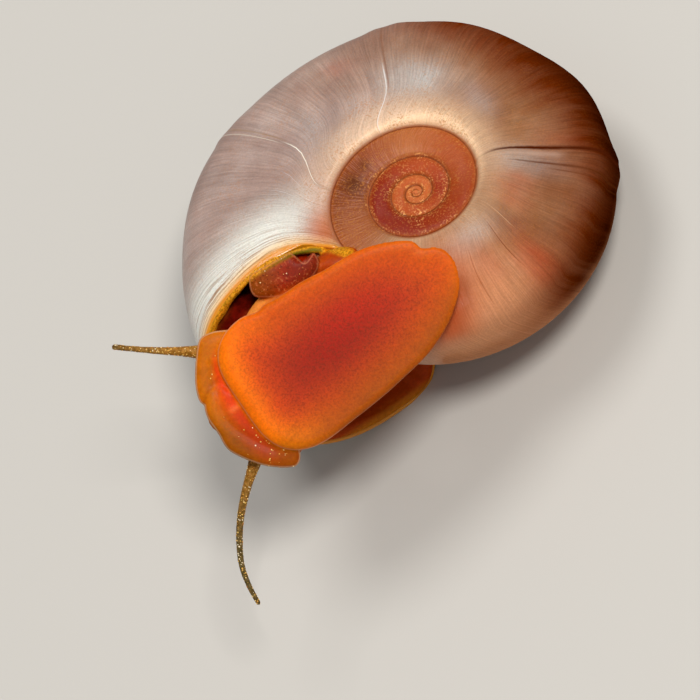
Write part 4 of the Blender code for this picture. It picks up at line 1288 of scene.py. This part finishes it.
# Wet, translucent flesh without dark pigment, coloured by red blood: deep red where it is thick, orange
# to yellow at the thin margins, with fine dark chromatophores and a mucus film that shines.
def fleshMaterial():
    made, tree, shader = newMaterial("redFlesh")
    read = readMasks(tree, "foot", "head", "gill", "collar", "neck", "cave", "feeler", "soleEdge", "front",
                     "frontLow", "tailLow", "heart", "blush", "soleAway", "soleLine", "lobeAway", "lobeLine",
                     "fold", "lobeSeam", "mouthRed", "lobeLow", "feelerOut", "nearLip", "deep", "rightCave",
                     "lipBeside", "oliveBand", "flankPale", "gillTone", "gillAway", "gillLine", "farFlap",
                     "flapRim")
    cloud, mottle, grain, speck = noises(tree, (480.0, 4.0, 0.5), (1900.0, 3.0, 0.6), (8000.0, 2.0, 0.6),
                                         (11500.0, 1.0, 0.5))

    # sole: margin to middle, with a little cloudiness
    wave = addNode(tree, mathNode, timesPlus, {0: cloud, 1: 0.3, 2: -0.15})
    edge = addNode(tree, mathNode, plus, {0: read["soleEdge"], 1: wave})
    yellowSide = addNode(tree, rampNode, {"stops": ((0.0, "#e87208"), (0.1, "#f47404"), (0.22, "#fc7a04"),
                                                    (0.39, "#f0640a"), (0.5, "#e0520e"), (0.68, "#cf4611"),
                                                    (0.85, "#c64213"), (1.0, "#b63815"))}, {"Fac": edge})
    redSide = addNode(tree, rampNode, {"stops": ((0.0, "#d46206"), (0.15, "#ce5406"), (0.4, "#c84c0e"),
                                                 (0.7, "#c24014"), (1.0, "#b63416"))}, {"Fac": edge})
    sole = addNode(tree, mixNode, blend, {"Factor": read["front"], "A": redSide, "B": yellowSide})
    marginal = addNode(tree, rangeNode, None,
                       {"Value": edge, "From Min": 0.1, "From Max": 0.85, "To Min": 0.9, "To Max": 0.0})
    # the lower margin darkened as painted shade
    for name in ("frontLow", "tailLow"):
        read[name] = addNode(tree, mathNode, times, {0: marginal, 1: read[name]})
    uneven = addNode(tree, mathNode, timesPlus, {0: mottle, 1: 0.6, 2: 0.6})
    read["heart"] = addNode(tree, mathNode, timesClamped, {0: uneven, 1: read["heart"]})
    read["blush"] = addNode(tree, mathNode, times, {0: read["blush"], 1: 0.5})
    for name, tint in (("frontLow", "#cc6e04"), ("tailLow", "#a04e0c"), ("heart", "#8e1c0c"),
                       ("blush", "#be200e")):
        sole = addNode(tree, mixNode, blend, {"Factor": read[name], "A": sole, "B": tint})
    # lip lobes: amber, red round the mouth, darker below
    lip = addNode(tree, rampNode, {"stops": ((0.3, "#b86002"), (0.7, "#d07008"))}, {"Fac": cloud})
    redLip = addNode(tree, mixNode, blend, {"Factor": read["lobeLow"], "A": "#d63c0a", "B": "#a8340a"})
    for name, tint in (("lobeLow", "#924a02"), ("mouthRed", redLip), ("fold", "#f07c3c"),
                       ("lobeSeam", "#7c2c02")):
        lip = addNode(tree, mixNode, blend, {"Factor": read[name], "A": lip, "B": tint})
    # gill: olive orange on the left, red in the middle, dark red on the right, with pale grains
    gillStops = ((0.0, "#8a4008"), (0.25, "#8e3606"), (0.5, "#982808"), (0.75, "#842008"), (1.0, "#802610"))
    gill = addNode(tree, rampNode, {"stops": gillStops}, {"Fac": read["gillTone"]})
    grains = addNode(tree, rampNode, {"stops": ((0.58, 0.0), (0.72, 0.6))}, {"Fac": grain})
    darkGrains = addNode(tree, rampNode, {"stops": ((0.3, 0.6), (0.42, 0.0))}, {"Fac": speck})
    for share, tint in ((grains, "#c07040"), (darkGrains, "#4c1802")):
        gill = addNode(tree, mixNode, blend, {"Factor": share, "A": gill, "B": tint})
    olive = addNode(tree, rampNode, {"stops": ((0.34, "#a06a0c"), (0.48, "#cc8412"), (0.64, "#e09a1e"))},
                    {"Fac": speck})
    olive = addNode(tree, mixNode, blend, {"Factor": read["oliveBand"], "A": olive, "B": "#6c6210"})
    mantle = addNode(tree, mixNode, blend, {"Factor": read["nearLip"], "A": "#903802", "B": olive})
    flap = addNode(tree, mixNode, blend, {"Factor": read["flapRim"], "A": "#a83a04", "B": "#b4680c"})
    mantle = addNode(tree, mixNode, blend, {"Factor": read["farFlap"], "A": mantle, "B": flap})
    neck = addNode(tree, rampNode, {"stops": ((0.35, "#a03402"), (0.65, "#b84a04"))}, {"Fac": cloud})
    # painted shade deep in the aperture, and a pale strip on the flank
    for name, tint in (("deep", "#5c1204"), ("flankPale", "#ee8c38")):
        neck = addNode(tree, mixNode, blend, {"Factor": read[name], "A": neck, "B": tint})
    # the hollow: dark red painted shade, less dark to the right
    dark = addNode(tree, mixNode, blend, {"Factor": read["rightCave"], "A": "#620e05", "B": "#c02808"})
    darkMottle = addNode(tree, rampNode, {"stops": ((0.35, 0.5), (0.65, 1.2))}, {"Fac": mottle})
    dark = addNode(tree, mixNode, multiply, {"Factor": 1.0, "A": dark, "B": darkMottle})
    feelerRoot = addNode(tree, rampNode, {"stops": ((0.38, "#8c5c16"), (0.62, "#aa7630"))}, {"Fac": grain})
    feelerEnd = addNode(tree, rampNode, {"stops": ((0.38, "#4a3c1a"), (0.62, "#6c5a34"))}, {"Fac": grain})
    feeler = addNode(tree, mixNode, blend, {"Factor": read["feelerOut"], "A": feelerRoot, "B": feelerEnd})
    # by the lip, what lines it and the gill take the olive orange of the mantle edge
    beside = addNode(tree, mathNode, plus, {0: read["gill"], 1: read["neck"]})
    read["lipBeside"] = addNode(tree, mathNode, timesClamped, {0: beside, 1: read["lipBeside"]})
    # chromatophores: dark dots about 0.06 mm across
    dots = addNode(tree, rampNode, {"stops": ((0.48, 0.0), (0.66, 0.5))}, {"Fac": speck})
    inner = addNode(tree, mathNode, {"operation": "MULTIPLY_ADD", "use_clamp": True},
                    {0: read["soleEdge"], 1: 1.2, 2: 0.15})
    dots = addNode(tree, mathNode, times, {0: dots, 1: inner})
    read["dots"] = addNode(tree, mathNode, times, {0: dots, 1: read["foot"]})
    skin = sole
    for name, tint in (("head", lip), ("neck", neck), ("cave", dark), ("gill", gill), ("lipBeside", olive),
                       ("collar", mantle), ("feeler", feeler), ("dots", "#70280e")):
        skin = addNode(tree, mixNode, blend, {"Factor": read[name], "A": skin, "B": tint})
    for noise, low, high in ((mottle, 0.3, 0.7), (grain, 0.34, 0.66)):
        tone = addNode(tree, rampNode, {"stops": ((low, 0.88), (high, 1.1))}, {"Fac": noise})
        skin = addNode(tree, mixNode, multiply, {"Factor": 0.8, "A": skin, "B": tone})
    # the thin edge of a margin catches the light: line read from the distance to it
    for away, mask, centre, half, strength, tint in (("soleAway", "soleLine", 0.03, 0.045, 0.55, "#dc9468"),
                                                     ("lobeAway", "lobeLine", 0.05, 0.05, 0.65, "#c09c78"),
                                                     ("gillAway", "gillLine", 0.06, 0.05, 0.5, "#c87850")):
        off = addNode(tree, mathNode, minus, {0: read[away], 1: centre})
        off = addNode(tree, mathNode, absolute, {0: off})
        line = addNode(tree, rangeNode, eased,
                       {"Value": off, "From Min": 0.0, "From Max": half, "To Min": strength, "To Max": 0.0})
        line = addNode(tree, mathNode, times, {0: line, 1: read[mask]})
        skin = addNode(tree, mixNode, blend, {"Factor": line, "A": skin, "B": tint})
    gloss = addNode(tree, rangeNode, None, {"Value": grain, "To Min": 0.35, "To Max": 0.55})
    bump = addNode(tree, "ShaderNodeBump", None, {"Strength": 0.25, "Distance": 0.00003, "Height": grain})
    # the mucus doesn't shine in the dark hollow
    sheen, film = (addNode(tree, rangeNode, None, {"Value": read["cave"], "To Min": level, "To Max": 0.0})
                   for level in (0.1, 0.03))
    fillInputs(tree, shader, {
        "Base Color": skin, "Roughness": gloss, "Normal": bump, "IOR": 1.36, "Specular IOR Level": sheen,
        "Subsurface Weight": 0.25, "Subsurface Radius": (1.0, 0.3, 0.08), "Subsurface Scale": 0.0004,
        "Coat Weight": film, "Coat Roughness": 0.3,
    })
    return made


fleshNodes = ("foot", "head", "neck", "mantle_collar", "gill_fold", "tentacle_left", "tentacle_right")
flesh = fleshMaterial()
skinMesh.shade_smooth()


# Golden iridescent cells in the thin skin of the tentacles and along the lip.
sparkle = {"perSquareMm": 60.0, "apart": 0.06, "small": 0.014, "large": 0.046, "seed": 7}


def goldMaterial():
    made, tree, shader = newMaterial("goldenCells")
    tint, = noises(tree, (3500.0, 1.0, 0.5))
    gold = addNode(tree, rampNode, {"stops": ((0.35, "#d98a2c"), (0.5, "#f6c860"), (0.65, "#fff2d0"))},
                   {"Fac": tint})
    fillInputs(tree, shader, {"Base Color": gold, "Metallic": 0.55, "Roughness": 0.3})
    return made


def sparkleTree():
    sockets = [(label, "Float") for label in ("Density", "Apart", "Small", "Large")]
    tree, given = newTree("goldenCells", *sockets, ("Seed", "Int"))
    where = addNode(tree, "GeometryNodeInputNamedAttribute", {"data_type": "FLOAT"},
                    {"Name": "golden"}).outputs["Attribute"]
    spread = addNode(tree, "GeometryNodeDistributePointsOnFaces", {"distribute_method": "POISSON"},
                     {"Mesh": given["Geometry"], "Distance Min": given["Apart"],
                      "Density Max": given["Density"], "Density Factor": where, "Seed": given["Seed"]})
    cell = addNode(tree, "GeometryNodeMeshIcoSphere", None, {"Radius": 1.0, "Subdivisions": 1})
    size = addNode(tree, "FunctionNodeRandomValue", {"data_type": "FLOAT"},
                   {"Min": 0.0, "Max": 1.0, "Seed": given["Seed"]})
    floats = [socket for socket in size.inputs if socket.enabled and socket.type == "VALUE"]
    for socket, source in zip(floats, ("Small", "Large")):
        tree.links.new(given[source], socket)
    value = [socket for socket in size.outputs if socket.enabled][0]
    flat = addNode(tree, "ShaderNodeVectorMath", {"operation": "SCALE"},
                   {0: (1.0, 1.0, 0.45), "Scale": value})
    copies = addNode(tree, "GeometryNodeInstanceOnPoints", None,
                     {"Points": spread.outputs["Points"], "Instance": cell.outputs["Mesh"],
                      "Rotation": spread.outputs["Rotation"], "Scale": flat})
    return endTree(tree, copies, given["Finish"])


def goldenPlaces(mesh):
    at = corners(mesh)
    feeler = values(mesh, "feeler")
    lip = values(mesh, "head") * smoothStep(at[:, 2], 3.5, 4.0) * 0.035
    lowLip = spot(at, -5.9, -10.6, 0.8) * values(mesh, "head") * 0.3
    gill = values(mesh, "gill") * smoothStep(at[:, 2], 1.2, 1.5) * 0.1
    store(mesh, "golden", np.clip(feeler + lip + lowLip + gill, 0, 1))


goldenPlaces(skinMesh)
gold = goldMaterial()
goldMesh = grownMesh("goldenCells", skinMesh.copy(), sparkleTree(), {
    "Density": sparkle["perSquareMm"],
    "Apart": sparkle["apart"],
    "Small": sparkle["small"],
    "Large": sparkle["large"],
    "Seed": sparkle["seed"],
    "Finish": gold,
})
goldMesh.shade_smooth()
print("golden cells:", len(goldMesh.polygons), "faces")
finished("softBody", skinMesh, flesh, "foot", *fleshNodes)
finished("goldenCells", goldMesh, gold, "feeler")


# ---- eyes ----
eyes = {"left": rest["leftEye"], "right": (-7.1, -10.0, 2.12), "radius": 0.16, "lens": 0.07}


def eyeMaterial():
    # a pigment cup under a clear cornea: black, wet and glossy
    made, tree, shader = newMaterial("eyePigment")
    spots, = noises(tree, (16000.0, 1.0, 0.5))
    black = addNode(tree, rampNode, {"stops": ((0.4, "#0c0808"), (0.7, "#241412"))}, {"Fac": spots})
    fillInputs(tree, shader, {"Base Color": black, "Roughness": 0.2, "Coat Weight": 1.0,
                              "Coat Roughness": 0.03})
    return made


def eyeMesh(centre, out):  # a bead with the low bulge of its cornea
    work = bmesh.new()
    bmesh.ops.create_icosphere(work, subdivisions=4, radius=eyes["radius"])
    out = Vector(out).normalized()
    for v in work.verts:
        facing = max(0.0, v.co.normalized().dot(out))
        v.co *= 0.97 + eyes["lens"] * facing ** 10
        v.co += Vector(centre)
    mesh = bpy.data.meshes.new("eye")
    work.to_mesh(mesh)
    work.free()
    mesh.shade_smooth()
    return mesh


pigment = eyeMaterial()
for side, out in (("left", (-0.6, 0.2, -0.8)), ("right", (-0.4, -0.5, -0.8))):
    finished(side + "Eye", eyeMesh(eyes[side], out), pigment, "eye", "eye_" + side)
print("eyes set")


# ---- floor, light and camera ----
view = {"centre": (-2.785, -6.667, 1.5), "width": 29.5, "lens": 500.0}


def floorPlane():
    work = bmesh.new()
    bmesh.ops.create_grid(work, x_segments=1, y_segments=1, size=1.5)
    mesh = bpy.data.meshes.new("floor")
    work.to_mesh(mesh)
    work.free()
    made, tree, shader = newMaterial("paleFloor")
    fillInputs(tree, shader, {"Base Color": "#c4c1bb", "Roughness": 0.8})
    mesh.materials.append(made)
    linked("floor", mesh)


def softLight(name, place, size, power, warmth=(1.0, 1.0, 1.0)):  # place in the view's own directions
    data = bpy.data.lights.new(name, "AREA")
    data.shape = "DISK"
    data.size = size
    data.energy = power
    data.color = warmth
    lamp = linked(name, data)
    target = soleToFloor @ Vector(view["centre"])
    away = (laid.to_3x3() @ Vector(place).normalized()) * Vector(place).length
    lamp.location = target + away
    lamp.rotation_mode = "QUATERNION"
    lamp.rotation_quaternion = away.to_track_quat("Z", "Y")


def studio():
    scene = bpy.context.scene
    scene.view_settings.view_transform = "Standard"
    world = bpy.data.worlds.new("studio")
    scene.world = world
    world.use_nodes = True
    sky = world.node_tree.nodes["Background"]
    fillInputs(world.node_tree, sky, {"Color": "#f2f3f6", "Strength": 0.26})
    softLight("flash", (0.02, 0.16, 0.5), 0.14, 2.0, (1.0, 0.97, 0.93))
    softLight("key", (-0.24, 0.28, 0.3), 0.2, 0.85, (1.0, 0.99, 0.97))
    softLight("fill", (0.16, -0.2, 0.42), 0.9, 0.4, (1.0, 0.93, 0.86))
    data = bpy.data.cameras.new("camera")
    data.lens = view["lens"]
    data.sensor_width = 36.0
    camera = linked("camera", data)
    scene.camera = camera
    distance = view["width"] * 0.001 * view["lens"] / data.sensor_width
    look = laid.to_3x3() @ Vector((0, 0, 1))
    rise = laid.to_3x3() @ Vector((0, 1, 0))
    facing = Matrix((rise.cross(look), rise, look)).transposed().to_4x4()
    camera.matrix_world = Matrix.Translation(soleToFloor @ Vector(view["centre"]) + look * distance) @ facing
    data.clip_start = 0.02
    data.clip_end = 20.0


floorPlane()
studio()
